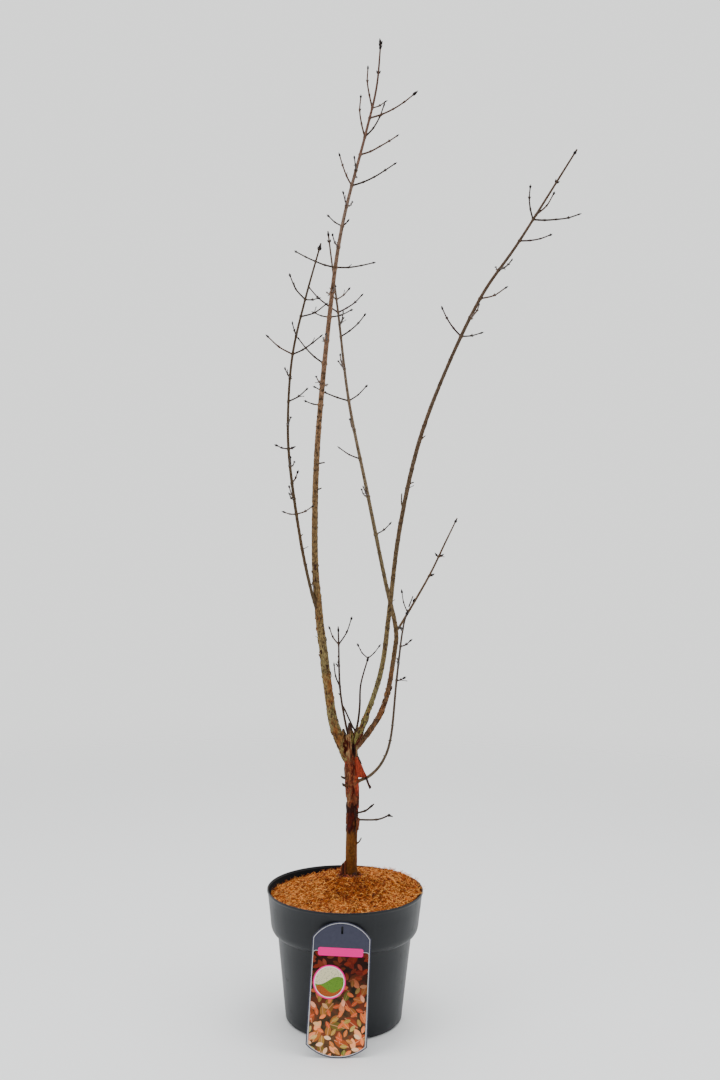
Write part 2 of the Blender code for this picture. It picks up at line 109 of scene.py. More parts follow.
class Finish:
    """A material: plain values on its shader, and a node tree for what changes over the surface."""

    def __init__(self, name, plain):
        self.material = bpy.data.materials.new(name)
        self.material.use_nodes = True
        self.tree = self.material.node_tree
        self.shader = self.tree.nodes["Principled BSDF"]
        for socket, value in plain.items():
            self.set(socket, value)

    def set(self, socket, value):
        self.feed(self.shader.inputs[socket], value)

    def feed(self, socket, value):
        if isinstance(value, Signal):
            self.tree.links.new(value.socket, socket)
        elif socket.type == "RGBA":
            socket.default_value = (*value[:3], 1.0)
        else:
            socket.default_value = value

    def node(self, kind, settings, sockets, output=0):
        """Any node: its type, its settings, and the values or links of its sockets."""
        made = self.tree.nodes.new(kind)
        stops = settings.pop("stops", ())
        for name, value in settings.items():
            setattr(made, name, value)
        for index, (spot, colour) in enumerate(stops):
            if index > 1:
                made.color_ramp.elements.new(spot)
            made.color_ramp.elements[index].position = spot
            made.color_ramp.elements[index].color = (*colour, 1.0)
        for socket, value in sockets.items():
            self.feed(made.inputs[socket], value)
        return Signal(self, made.outputs[output])

    def math(self, operation, *values):
        return self.node("ShaderNodeMath", {"operation": operation}, dict(enumerate(values)))

    def place(self, scale=(1, 1, 1)):
        """Where a point of the piece is, stretched by a scale."""
        spot = self.node("ShaderNodeTexCoord", {}, {}, "Object")
        return self.node("ShaderNodeMapping", {}, {"Vector": spot, "Scale": scale})

    def speckle(self, where, scale, detail=3.0, roughness=0.55):
        return self.node("ShaderNodeTexNoise", {}, {
            "Vector": where, "Scale": scale, "Detail": detail, "Roughness": roughness})

    def step(self, value, low, high, start=0.0, end=1.0):
        """A smooth change from start to end as value goes from low to high."""
        return self.node("ShaderNodeMapRange", {"interpolation_type": "SMOOTHSTEP"}, {
            "Value": value, "From Min": low, "From Max": high, "To Min": start, "To Max": end})

    def mix(self, share, first, second, blend="MIX"):
        return self.node("ShaderNodeMix", {"data_type": "RGBA", "blend_type": blend, "clamp_result": True}, {
            0: share, 6: first, 7: second}, 2)

    def ramp(self, value, *stops):
        return self.node("ShaderNodeValToRGB", {"stops": stops}, {0: value})

    def bump(self, height, strength, distance):
        self.set("Normal", self.node("ShaderNodeBump", {}, {
            "Height": height, "Strength": strength, "Distance": distance}))


def add(name, data):
    """A new object in the scene."""
    made = bpy.data.objects.new(name, data)
    bpy.context.scene.collection.objects.link(made)
    return made


def settle(name, bm, finish, body=None, smooth_angle=40):
    """Turn a bmesh into a piece."""
    mesh = bpy.data.meshes.new(name)
    bm.to_mesh(mesh)
    bm.free()
    return settle_mesh(name, mesh, finish, body, smooth_angle)


def settle_mesh(name, mesh, finish, body=None, smooth_angle=40):
    """Turn a mesh into a piece that is shaded smooth but for its sharp edges, and rides on a body."""
    mesh.shade_smooth()
    mesh.set_sharp_from_angle(angle=math.radians(smooth_angle))
    for one in finish if isinstance(finish, list) else [finish]:
        mesh.materials.append(one.material)
    piece = add(name, mesh)
    if body:
        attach(piece, body)
    return piece


eye = add("eye", bpy.data.cameras.new("eye"))
eye.data.lens = LENS_MM
eye.data.clip_end = 50
eye.matrix_world = (
    Matrix.Translation(EYE) @ Matrix.Rotation(math.radians(90 - EYE_DIP), 4, "X")
    @ Matrix.Rotation(math.radians(EYE_ROLL), 4, "Z"))
bpy.context.scene.camera = eye

surround = bpy.data.worlds.new("surround")
surround.use_nodes = True
nodes, link = surround.node_tree.nodes, surround.node_tree.links.new
backdrop = nodes["Background"]
backdrop.inputs["Color"].default_value = (*SURROUND, 1)
towards = nodes.new("ShaderNodeSeparateXYZ")
link(nodes.new("ShaderNodeTexCoord").outputs["Generated"], towards.inputs[0])
brightness = nodes.new("ShaderNodeMapRange")
for name, value in zip(("From Min", "From Max", "To Min", "To Max"), (*SHADE_FROM, *SHADE_TO)):
    brightness.inputs[name].default_value = value
link(towards.outputs["Y"], brightness.inputs["Value"])
seen = nodes.new("ShaderNodeMix")
seen.inputs["B"].default_value = SEEN_STRENGTH
link(nodes.new("ShaderNodeLightPath").outputs["Is Camera Ray"], seen.inputs["Factor"])
link(brightness.outputs["Result"], seen.inputs["A"])
link(seen.outputs["Result"], backdrop.inputs["Strength"])
bpy.context.scene.world = surround

floor_finish = Finish("floor", {"Base Color": FLOOR_COLOUR, "Roughness": 0.6})
across = floor_finish.node(
    "ShaderNodeVectorMath", {"operation": "LENGTH"}, {0: floor_finish.place()}, "Value")
fade = floor_finish.node("ShaderNodeMixShader", {}, {
    0: floor_finish.step(across, *FLOOR_FADE),
    1: Signal(floor_finish, floor_finish.shader.outputs[0]),
    2: floor_finish.node("ShaderNodeBsdfTransparent", {}, {})})
floor_finish.tree.links.new(fade.socket, floor_finish.tree.nodes["Material Output"].inputs["Surface"])
bm = bmesh.new()
bmesh.ops.create_circle(bm, cap_ends=True, segments=96, radius=FLOOR_RADIUS)
bmesh.ops.translate(bm, verts=bm.verts, vec=(0, 0, -FLOOR_DROP))
settle("floor", bm, floor_finish)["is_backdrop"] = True

PANELS = [  # name, place, width and height, watts
    ("panel_left", (-1.9, -1.3, 1.7), (1.4, 2.2), 24),
    ("panel_right", (2.0, -1.0, 1.5), (1.2, 2.2), 13),
    ("panel_top", (0.2, -0.3, 3.0), (2.2, 2.2), 60),
]
for name, place, size, watts in PANELS:
    panel = bpy.data.lights.new(name, "AREA")
    panel.shape = "RECTANGLE"
    panel.size, panel.size_y = size
    panel.energy = watts
    lamp = add(name, panel)
    lamp.location = place
    lamp.rotation_euler = (Vector(LIT_SPOT) - Vector(place)).to_track_quat("-Z", "Y").to_euler()


# The pot: thin black polypropylene, injection moulded in one piece, with a deep rim band over a tapered
# body, a rolled lip, and a flat foot with eight notches that let water out.
POT_OUTSIDE = [  # radius and height in millimetres, from the middle of the foot to the lip
    (0, 0), (60, 0), (74.3, 0), (74.9, 0), (87.6, 0), (88.8, 0.5), (90.3, 1.8), (91.5, 3.5), (92.6, 14),
    (96.0, 46), (99.7, 81), (103.0, 112), (105.2, 133), (105.6, 134.3), (106.8, 135.2), (109.8, 136.5),
    (112.4, 138.8), (114.3, 142), (115.5, 145.4), (116.2, 149), (117.6, 162), (119.6, 180), (121.6, 197.6),
    (122.0, 198.6), (122.6, 199.4), (122.9, 200.6), (122.9, 202.0), (122.6, 202.7), (121.9, 203.0),
]
POT_INSIDE = [  # and back down to the floor
    (121.3, 202.7), (121.0, 202.0), (120.8, 199.5), (119.8, 198), (114.4, 149), (112.6, 142), (108.0, 136.5),
    (103.5, 134), (89.7, 6), (60, 6), (0, 6),
]
POT_HEIGHT = POT_OUTSIDE[-1][1] * MM
POT_STEPS = 240
NOTCHES = 8
NOTCH_HALF_WIDTH = 7.5 * MM
NOTCH_HEIGHT = 3.5 * MM
NOTCH_REACH = 74.6 * MM  # how far from the middle they start
DULL_TOP = 200 * MM  # the wall is dull inside up to here
MERGE = 0.01 * MM


def turned(outline, steps):
    """A shell: radii and heights spun round the upright axis."""
    bm = bmesh.new()
    corners = [bm.verts.new((radius, 0, height)) for radius, height in outline]
    edges = [bm.edges.new(pair) for pair in zip(corners, corners[1:])]
    bmesh.ops.spin(
        bm, geom=corners + edges, cent=(0, 0, 0), axis=(0, 0, 1), angle=math.tau, steps=steps, use_merge=True)
    bmesh.ops.remove_doubles(bm, verts=bm.verts, dist=MERGE)
    bmesh.ops.recalc_face_normals(bm, faces=bm.faces)
    return bm


pot_plastic = Finish("pot_plastic", {"Specular IOR Level": 0.3, "IOR": 1.49})
spot = pot_plastic.place()
cloud = pot_plastic.speckle(spot, 9, 3)
grain = pot_plastic.speckle(spot, 900, 2)
streak = pot_plastic.speckle(pot_plastic.place((1, 1, 0.06)), 160, 3)
dust = pot_plastic.step(pot_plastic.speckle(spot, 60, 5, 0.7), 0.56, 0.72)
tone = pot_plastic.mix(pot_plastic.step(cloud, 0.3, 0.7), (0.0030, 0.0046, 0.0070), (0.0048, 0.0067, 0.0096))
tone = pot_plastic.mix(pot_plastic.step(streak, 0.5, 0.75) * 0.35, tone, (0.010, 0.012, 0.015))
pot_plastic.set("Base Color", pot_plastic.mix(dust * 0.12, tone, (0.045, 0.042, 0.040)))
pot_plastic.set("Roughness", 0.36 + streak * 0.12 + dust * 0.15)
pot_plastic.bump(grain * 0.25 + cloud * 0.6 + streak * 0.15, 0.35, 0.4 * MM)

# Inside, the wall is dull with dried compost
pot_inside = Finish("pot_inside", {"Specular IOR Level": 0.08, "Roughness": 0.7})
spot = pot_inside.place()
crust = pot_inside.step(pot_inside.speckle(spot, 90, 5, 0.7), 0.5, 0.7)
pot_inside.set("Base Color", pot_inside.mix(crust * 0.5, (0.004, 0.005, 0.006), (0.016, 0.013, 0.011)))
pot_inside.bump(crust + pot_inside.speckle(spot, 900, 2) * 0.3, 0.4, 0.5 * MM)

bm = turned([(radius * MM, height * MM) for radius, height in POT_OUTSIDE + POT_INSIDE], POT_STEPS)
for face in bm.faces:
    middle = face.calc_center_median()
    face.material_index = 1 if face.normal.xy.dot(middle.xy) < 0 and middle.z < DULL_TOP else 0
for corner in bm.verts:
    turn = math.atan2(corner.co.y, corner.co.x) * NOTCHES / math.tau - 0.5
    aside = abs(turn - round(turn)) * math.tau / NOTCHES * corner.co.xy.length
    if corner.co.z < NOTCH_HEIGHT and corner.co.xy.length > NOTCH_REACH and aside < NOTCH_HALF_WIDTH:
        corner.co.z = NOTCH_HEIGHT
pot = settle("pot_shell", bm, [pot_plastic, pot_inside], "root", 50)
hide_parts("pot")


# The growing medium: moist compost of bark and peat under the mat. Only a little of it shows, in the
# slit round the trunk and along the wall.
compost = Finish("compost", {"Roughness": 0.95})
spot = compost.place()
crumbs = compost.node("ShaderNodeTexVoronoi", {}, {"Vector": spot, "Scale": 320.0})
compost.set("Base Color", compost.ramp(
    compost.speckle(spot, 210, 4), (0.3, (0.008, 0.005, 0.003)), (0.6, (0.035, 0.018, 0.010)),
    (0.75, (0.09, 0.045, 0.022))))
compost.bump(crumbs + compost.speckle(spot, 500, 3), 0.8, 1.5 * MM)
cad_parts["growing_medium"].data.materials.clear()
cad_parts["growing_medium"].data.materials.append(compost.material)


# The coir mat: coconut fibre felted into a thin round mat, laid on the compost and mounded up to the trunk.
# A rough pad carries thousands of separate curled fibres in four tones, some of which stand up loose.
TRUNK_X, TRUNK_Y = 9 * MM, 36 * MM
MAT_RADIUS = 117.3 * MM
MAT_EDGE_HEIGHT = 198.5 * MM
MAT_THICKNESS = 9 * MM
MAT_MOUND = 16 * MM
MAT_MOUND_REACH = 58 * MM
MAT_MOUND_TOP = 19 * MM
MAT_TILT = (0.022, -0.016)
MAT_SAG = 7.5 * MM  # how far it has sunk at the back left
MAT_SHRINK = 0.018  # and the share of its radius that it has drawn back from the wall there
MAT_RISE = 2.2 * MM  # how far it stands up at the back right
BACK_LEFT, BACK_RIGHT = (-0.6, 0.8), (0.8, 0.6)
MAT_LUMP = 2.0 * MM
MAT_LUMP_SCALE = 90  # the noise scales are per metre
FRINGE = 0.03  # this share of the mat's width, at its edge, is rougher
FRINGE_SCALE = 260
FRINGE_LUMP = 0.8  # of the other lumps
RAGGED_WIDTH = 0.05
RAGGED_SCALE = 110
MAT_EDGE_GAP = 0.006  # these two are shares of its radius
MAT_RAGGED = 0.014
MAT_HOLE = 13.8 * MM
MAT_HOLE_X, MAT_HOLE_Y = TRUNK_X + 2.6 * MM, TRUNK_Y - 1.5 * MM
MAT_RINGS = 60
MAT_STEPS = 160
FIBRE_TONES = [  # name, colour, how many
    ("coir_gold", (1.0, 0.445, 0.10), 3900),
    ("coir_amber", (0.54, 0.144, 0.016), 4300),
    ("coir_rust", (0.22, 0.037, 0.006), 4000),
    # Umber is partly dark fibre and partly painted shade for the gaps between the paler fibres
    ("coir_umber", (0.030, 0.0065, 0.0020), 2500),
]
RED_PATCH = (21 * MM, -33 * MM)  # a darker, redder part of the mat
RED_PATCH_REACH = 52 * MM
RED_PATCH_THINS = {"coir_gold": 0.86, "coir_amber": 0.54}  # the share of pale fibres missing there
FIBRE_REACH = 117.6 * MM
FIBRE_SEGMENTS = 4
FIBRE_SIDES = 3
FIBRE_TAPER = 0.5
TUFT_SCALE = 210
TUFT_SHARES = (0.22, 3.4)  # how many fibres are kept anywhere, and how many more in a tuft
FIBRE_LENGTH = (4, 13)  # these are in millimetres
FIBRE_RADIUS = (0.17, 0.39)
FIBRE_LIFT = (0.3, 3.2)
LOOSE_LIFT = (2.5, 7.5)
FIBRE_BEND = 0.55
FIBRE_SINK = 1.1 * MM
FIBRE_CLEAR = 1.5 * MM  # of the hole
LOOSE_ANYWHERE = 0.05  # the share of fibres that stand up
LOOSE_AT_EDGE = 0.30  # and how much more of them do near the edge, from here in and from here back
LOOSE_OUT = 0.88 * MAT_RADIUS
LOOSE_BACK = -20 * MM


def towards(side, x, y):
    """How far towards a side a point of the mat is, from 0 in the middle to 1 at the edge."""
    return max(0.0, (x * side[0] + y * side[1]) / MAT_RADIUS)


def mat_height(x, y):
    """Height of the mat's upper side, which is level on top of the mound."""
    from_trunk = math.hypot(x - TRUNK_X, y - TRUNK_Y)
    mound = MAT_MOUND * math.exp(-((max(0.0, from_trunk - MAT_MOUND_TOP) / MAT_MOUND_REACH) ** 2))
    tilt = (x * MAT_TILT[0] + y * MAT_TILT[1]) * min(1.0, (from_trunk / MAT_MOUND_TOP) ** 2)
    warp = MAT_RISE * towards(BACK_RIGHT, x, y) ** 3 - MAT_SAG * towards(BACK_LEFT, x, y) ** 1.5
    return MAT_EDGE_HEIGHT + mound + tilt + warp * min(1.0, from_trunk / MAT_MOUND_REACH)


def profile(sides):
    """A closed outline of unit radius that rods are drawn along."""
    name = f"profile_{sides}"
    if name not in bpy.data.objects:
        outline = bpy.data.curves.new(name, "CURVE")
        spline = outline.splines.new("POLY")
        spline.points.add(sides - 1)
        spline.use_cyclic_u = True
        for index, point in enumerate(spline.points):
            turn = math.tau * index / sides
            point.co = (math.cos(turn), math.sin(turn), 0, 1)
        add(name, outline).hide_render = True
    return bpy.data.objects[name]


def rods(lines, sides):
    """One mesh of round rods with closed ends, along lines of spots and radii."""
    curve = bpy.data.curves.new("rods", "CURVE")
    curve.dimensions = "3D"
    curve.bevel_mode = "OBJECT"
    curve.bevel_object = profile(sides)
    curve.use_fill_caps = True
    for line in lines:
        spline = curve.splines.new("POLY")
        spline.points.add(len(line) - 1)
        spline.points.foreach_set("co", [value for place, _ in line for value in (*place, 1.0)])
        spline.points.foreach_set("radius", [radius for _, radius in line])
    guide = add("rods", curve)
    mesh = bpy.data.meshes.new_from_object(guide.evaluated_get(bpy.context.evaluated_depsgraph_get()))
    bpy.data.objects.remove(guide, do_unlink=True)
    bpy.data.curves.remove(curve)
    mesh.materials.clear()
    return mesh


felt = Finish("coir_felt", {"Roughness": 0.95, "Specular IOR Level": 0.1})
spot = felt.place()
felt.set("Base Color", felt.ramp(
    felt.speckle(spot, 330, 5, 0.7), (0.32, (0.020, 0.004, 0.001)), (0.5, (0.13, 0.028, 0.002)),
    (0.68, (0.36, 0.085, 0.005))))
felt.bump(felt.speckle(spot, 500, 4, 0.7), 0.9, 1.2 * MM)
outline = []
for ring in range(MAT_RINGS + 1):
    outline.append((MAT_HOLE + (MAT_RADIUS - MAT_HOLE) * ring / MAT_RINGS, MAT_THICKNESS))
outline += [(MAT_RADIUS, 0), (MAT_HOLE, 0), outline[0]]
bm = turned(outline, MAT_STEPS)
for corner in bm.verts:
    out = corner.co.xy.length
    share = (MAT_RADIUS - out) / (MAT_RADIUS - MAT_HOLE)
    x, y = corner.co.x + MAT_HOLE_X * share, corner.co.y + MAT_HOLE_Y * share
    top = corner.co.z > MAT_THICKNESS / 2
    lump = (noise.fractal(Vector((x, y, 0)) * MAT_LUMP_SCALE, 0.8, 2.2, 4) - 0.95) * MAT_LUMP if top else 0.0
    if share < FRINGE:
        lump += noise.noise(Vector((x, y, 3)) * FRINGE_SCALE) * FRINGE_LUMP * MAT_LUMP
    ragged = 1 - MAT_EDGE_GAP - MAT_SHRINK * towards(BACK_LEFT, x, y)
    ragged += MAT_RAGGED * noise.noise(Vector((x, y, 7)) * RAGGED_SCALE) * (share < RAGGED_WIDTH)
    corner.co = (x * ragged, y * ragged, mat_height(x, y) - MAT_THICKNESS + corner.co.z + lump)
mat = settle("coir_pad", bm, felt, "root", 60)
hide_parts("coir_mat")

rng = random.Random("coir")
for layer, (name, colour, count) in enumerate(FIBRE_TONES):
    fibre = Finish(name, {"Base Color": colour, "Roughness": 0.62, "Specular IOR Level": 0.1})
    lines = []
    while len(lines) < count:
        out = MAT_RADIUS * math.sqrt(rng.random())
        turn = rng.uniform(0, math.tau)
        out *= 1 - MAT_SHRINK * towards(BACK_LEFT, out * math.cos(turn), out * math.sin(turn))
        x, y = out * math.cos(turn), out * math.sin(turn)
        if math.hypot(x - MAT_HOLE_X, y - MAT_HOLE_Y) < MAT_HOLE + FIBRE_CLEAR:
            continue
        tuft = noise.noise(Vector((x, y, 2 * layer)) * TUFT_SCALE)
        if rng.random() > TUFT_SHARES[0] + TUFT_SHARES[1] * tuft:
            continue
        redness = math.exp(-(((x - RED_PATCH[0]) ** 2 + (y - RED_PATCH[1]) ** 2) / RED_PATCH_REACH ** 2))
        if rng.random() < redness * RED_PATCH_THINS.get(name, 0.0):
            continue
        heading = rng.uniform(0, math.tau)
        bend = rng.uniform(-FIBRE_BEND, FIBRE_BEND)
        length = rng.uniform(*FIBRE_LENGTH) * MM
        radius = rng.uniform(*FIBRE_RADIUS) * MM
        at_edge = out > LOOSE_OUT and y > LOOSE_BACK
        loose = rng.random() < LOOSE_ANYWHERE + LOOSE_AT_EDGE * at_edge
        lift = rng.uniform(*(LOOSE_LIFT if loose else FIBRE_LIFT)) * MM
        line = []
        for joint in range(FIBRE_SEGMENTS + 1):
            share = joint / FIBRE_SEGMENTS
            arch = share if loose else math.sin(math.pi * share)
            height = mat_height(x, y) - FIBRE_SINK + lift * arch
            reach = FIBRE_REACH * (1 - MAT_SHRINK * towards(BACK_LEFT, x, y))
            limit = reach / max(math.hypot(x, y), MERGE)
            edge = min(1.0, limit) if height < POT_HEIGHT else 1.0
            line.append((Vector((x * edge, y * edge, height)), radius * (1 - FIBRE_TAPER * share)))
            x += math.cos(heading) * length / FIBRE_SEGMENTS
            y += math.sin(heading) * length / FIBRE_SEGMENTS
            heading += bend
        if min(math.hypot(place.x - MAT_HOLE_X, place.y - MAT_HOLE_Y) for place, _ in line) > MAT_HOLE:
            lines.append(line)
    piece = settle_mesh(name, rods(lines, FIBRE_SIDES), fibre, "root", 80)


# The care label: a thin printed plastic card with a round head and foot and a hanging slit. It stands on
# the floor and leans back on the pot's rim. Leaves, a plain bar and a round badge are printed on it.
LABEL_HEAD_WIDTH = 86.5 * MM
LABEL_FOOT_WIDTH = 89.5 * MM
LABEL_HEIGHT = 192 * MM
LABEL_THICKNESS = 0.8 * MM
LABEL_HEAD_RISE = 23 * MM
LABEL_FOOT_DROP = 17 * MM
LABEL_FOOT_Y = -148 * MM
LABEL_X = -9.5 * MM
LABEL_ROLL = 2.3  # degrees that it is turned in its own plane
LABEL_SLIT = (1.5 * MM, 5.5 * MM)  # half its width and height
LABEL_SLIT_DROP = 12 * MM
LABEL_LINE_ROOM = 3.4 * MM  # a ring of points follows the edge, so that the line printed there is even
LABEL_PAGE = 0.2  # the UV map of the print is this many metres across
LABEL_EDGE_PAGE = 0.1  # and that of the distance from the edge
RIM_BAND = ([149 * MM, 198 * MM], [116.2 * MM, 121.6 * MM])  # heights on the pot's rim, and its radii there
CARD_GAP = 0.3 * MM
LEAN_ROUNDS = 5
LEAF_JITTER = 0.25  # this and the next sizes are shares of the room of a leaf
LEAF_OFFSET = 0.34  # a leaf is where two discs overlap, with their middles this far to its left and right
LEAF_EDGE = (0.545, 0.575)  # the discs' radius, softened
LEAF_RIB = (0.008, 0.03)


def arc(half_width, rise, points=41):
    """Points from +half_width to -half_width over an arc that rises by rise in the middle."""
    radius = (half_width ** 2 + rise ** 2) / (2 * rise)
    reach = math.asin(half_width / radius)
    return [
        (radius * math.sin(angle), radius * math.cos(angle) - radius + rise)
        for angle in np.linspace(reach, -reach, points)]


def box_edge(card, u, v, low, high, corner):
    """How far a point is outside a rounded box, negative inside."""
    centre = [(a + b) / 2 for a, b in zip(low, high)]
    half = [(b - a) / 2 - corner for a, b in zip(low, high)]
    du = card.math("MAXIMUM", card.math("ABSOLUTE", u - centre[0]) - half[0], 0.0)
    dv = card.math("MAXIMUM", card.math("ABSOLUTE", v - centre[1]) - half[1], 0.0)
    return card.math("SQRT", du * du + dv * dv) - corner


def ink(card, edge, softness=0.12):
    """1 inside a shape and 0 outside."""
    return card.step(edge, -softness, softness, 1.0, 0.0)


def leaves(card, u, v, size, turn, seed):
    """Scattered pointed leaves: where they are, their ribs, and a chance number for each."""
    pu = (u * math.cos(turn) + v * math.sin(turn)) / size
    pv = (v * math.cos(turn) - u * math.sin(turn)) / size
    cell_u, cell_v = card.math("FLOOR", pu), card.math("FLOOR", pv)
    where = card.node("ShaderNodeCombineXYZ", {}, {0: cell_u, 1: cell_v, 2: seed})
    chance = card.node("ShaderNodeTexWhiteNoise", {"noise_dimensions": "3D"}, {"Vector": where}, "Color")
    parts = [card.node("ShaderNodeSeparateColor", {}, {0: chance}, side) for side in range(3)]
    lu = pu - cell_u - 0.5 + (parts[1] - 0.5) * LEAF_JITTER
    lv = pv - cell_v - 0.5 + (parts[2] - 0.5) * LEAF_JITTER
    angle = parts[0] * math.tau
    cosine, sine = card.math("COSINE", angle), card.math("SINE", angle)
    x, y = lu * cosine + lv * sine, lv * cosine - lu * sine
    right, left = x + LEAF_OFFSET, x - LEAF_OFFSET
    blade = card.math("SQRT", card.math("MAXIMUM", right * right + y * y, left * left + y * y))
    rib = card.step(card.math("ABSOLUTE", x), *LEAF_RIB, 1.0, 0.0)
    return card.step(blade, *LEAF_EDGE, 1.0, 0.0), rib, parts[2]


card = Finish("label_print", {
    "Roughness": 0.4, "Specular IOR Level": 0.12, "Coat Weight": 0.04, "Coat Roughness": 0.25})
spot = card.node("ShaderNodeUVMap", {"uv_map": "print"}, {})
u = (card.node("ShaderNodeSeparateXYZ", {}, {0: spot}, 0) - 0.5) * (LABEL_PAGE / MM)
v = card.node("ShaderNodeSeparateXYZ", {}, {0: spot}, 1) * (LABEL_PAGE / MM)
edge_far = card.node("ShaderNodeUVMap", {"uv_map": "edge"}, {})
inward = card.node("ShaderNodeSeparateXYZ", {}, {0: edge_far}, 0) * (LABEL_EDGE_PAGE / MM)
slate = card.mix(card.speckle(spot, 40, 3), (0.043, 0.044, 0.070), (0.060, 0.062, 0.091))
PALE = (0.88, 0.88, 0.88)
MAGENTA = (0.95, 0.0, 0.26)
PICTURE = ((-41.0, -20.0), (41.0, 149.2), 4.0)  # low and high corner, and the corners' radius in millimetres
EDGE_LINE = 2.0  # how far in from the card's edge a thin line is printed
EDGE_LINE_HALF = 0.22
BAR = ((-34.0, 143.0), (32.5, 154.8), 3.0)
BADGE = ((-37.0, 84.0), (7.0, 128.0), 21.9)
BADGE_SKY = (0.72, 0.66, 0.42)
HILLS = [  # height, ripple, its start and its swell, colour
    (108.0, 0.11, 1.8, 6.0, (0.12, 0.25, 0.025)), (96.0, 0.16, 0.0, 5.0, (0.36, 0.080, 0.015))]
picture = card.ramp(
    card.speckle(spot, 14, 4, 0.6), (0.36, (0.010, 0.012, 0.004)), (0.5, (0.045, 0.026, 0.008)),
    (0.62, (0.085, 0.020, 0.006)), (0.72, (0.030, 0.042, 0.007)))
LEAF_LAYERS = [  # size, turn, seed, colours
    (27.0, 0.4, 1.0, ((0.0, (0.26, 0.035, 0.006)), (0.35, (0.05, 0.075, 0.008)), (0.6, (0.42, 0.090, 0.012)),
                      (0.85, (0.15, 0.025, 0.006)))),
    (19.0, 1.1, 2.0, ((0.0, (0.48, 0.115, 0.020)), (0.3, (0.09, 0.14, 0.014)), (0.55, (0.32, 0.050, 0.010)),
                      (0.8, (0.58, 0.26, 0.080)))),
    (12.5, 0.7, 3.0, ((0.0, (0.62, 0.19, 0.038)), (0.4, (0.38, 0.065, 0.012)), (0.7, (0.20, 0.24, 0.032)),
                      (0.9, (0.76, 0.42, 0.19)))),
]
for size, turn, seed, colours in LEAF_LAYERS:
    blade, rib, chance = leaves(card, u, v, size, turn, seed)
    leaf = card.mix(card.speckle(spot, 90, 2) * 0.5, card.ramp(chance, *colours), (0.04, 0.02, 0.01))
    leaf = card.mix(rib * 0.5, leaf, (0.45, 0.25, 0.11))
    picture = card.mix(blade, picture, leaf)
light = card.ramp(v / 160, (0.2, (2.4, 1.95, 2.5)), (0.75, (0.38, 0.12, 0.15)))
picture = card.mix(1.0, picture, light, "MULTIPLY")
badge = BADGE_SKY
for height, ripple, start, swell, colour in HILLS:
    badge = card.mix(ink(card, v - height - card.math("SINE", u * ripple + start) * swell), badge, colour)
badge = card.mix(card.step(card.speckle(spot, 120, 4), 0.5, 0.66) * 0.6, badge, (0.03, 0.05, 0.010))
picture_edge = box_edge(card, u, v, *PICTURE)
badge_edge = box_edge(card, u, v, *BADGE)
page = slate
for edge, colour in (  # what is printed, from the lowest layer up
        (card.math("MAXIMUM", picture_edge - 1.0, EDGE_LINE + 0.5 - inward), PALE),
        (card.math("MAXIMUM", picture_edge - 0.6, EDGE_LINE + 0.7 - inward), slate),
        (card.math("MAXIMUM", picture_edge, EDGE_LINE + 0.7 - inward), picture),
        (badge_edge - 2.0, MAGENTA), (badge_edge, PALE), (badge_edge + 0.9, badge),
        (box_edge(card, u, v, *BAR), MAGENTA),
        (card.math("ABSOLUTE", inward - EDGE_LINE) - EDGE_LINE_HALF, PALE)):
    page = card.mix(ink(card, edge), page, colour)
card.set("Base Color", page)
card.bump(card.speckle(spot, 260, 2), 0.06, 0.2 * MM)
card_back = Finish("label_back", {"Base Color": (0.060, 0.064, 0.088), "Roughness": 0.5})

shoulder = LABEL_HEIGHT - LABEL_HEAD_RISE
head = [(x, shoulder + z) for x, z in arc(LABEL_HEAD_WIDTH / 2, LABEL_HEAD_RISE)]
foot = [(-x, LABEL_FOOT_DROP - z) for x, z in arc(LABEL_FOOT_WIDTH / 2, LABEL_FOOT_DROP)]
rim = [Vector(point) for point in head + foot]
slit_x, slit_z = LABEL_SLIT
slit_middle = LABEL_HEIGHT - LABEL_SLIT_DROP
slit = [
    (slit_x * math.copysign(1, math.cos(turn)) * min(1, abs(math.cos(turn)) * 1.6),
     slit_middle + slit_z * math.copysign(1, math.sin(turn)) * min(1, abs(math.sin(turn)) * 1.15))
    for turn in np.linspace(0, math.tau, 16, endpoint=False)]
bm = bmesh.new()
edges = []
for loop in (rim, slit):
    corners = [bm.verts.new((x, 0, z)) for x, z in loop]
    edges += [bm.edges.new((a, b)) for a, b in zip(corners, corners[1:] + corners[:1])]
bmesh.ops.triangle_fill(bm, edges=edges, use_beauty=True)
bmesh.ops.inset_region(bm, faces=bm.faces, thickness=LABEL_LINE_ROOM, use_boundary=True, use_even_offset=True)
bmesh.ops.subdivide_edges(bm, edges=[edge for edge in bm.edges if not edge.is_boundary], cuts=1)
bmesh.ops.triangulate(bm, faces=bm.faces)
pushed = bmesh.ops.extrude_face_region(bm, geom=list(bm.faces), use_keep_orig=True)
lifted = [item for item in pushed["geom"] if isinstance(item, bmesh.types.BMVert)]
bmesh.ops.translate(bm, verts=lifted, vec=(0, LABEL_THICKNESS, 0))
bmesh.ops.recalc_face_normals(bm, faces=bm.faces)
print_uv = bm.loops.layers.uv.new("print")
edge_uv = bm.loops.layers.uv.new("edge")


def rim_distance(x, z):
    """How far a point of the card is from its outer edge."""
    spot = Vector((x, z))
    best = 1.0
    for a, b in zip(rim, rim[1:] + rim[:1]):
        share = max(0.0, min(1.0, (spot - a).dot(b - a) / max((b - a).length_squared, 1e-12)))
        best = min(best, (spot - a.lerp(b, share)).length)
    return best


for face in bm.faces:
    face.material_index = 0 if face.normal.y < -0.9 else 1
    for loop in face.loops:
        x, _, z = loop.vert.co
        loop[print_uv].uv = (x / LABEL_PAGE + 0.5, z / LABEL_PAGE)
        loop[edge_uv].uv = (rim_distance(x, z) / LABEL_EDGE_PAGE, 0)

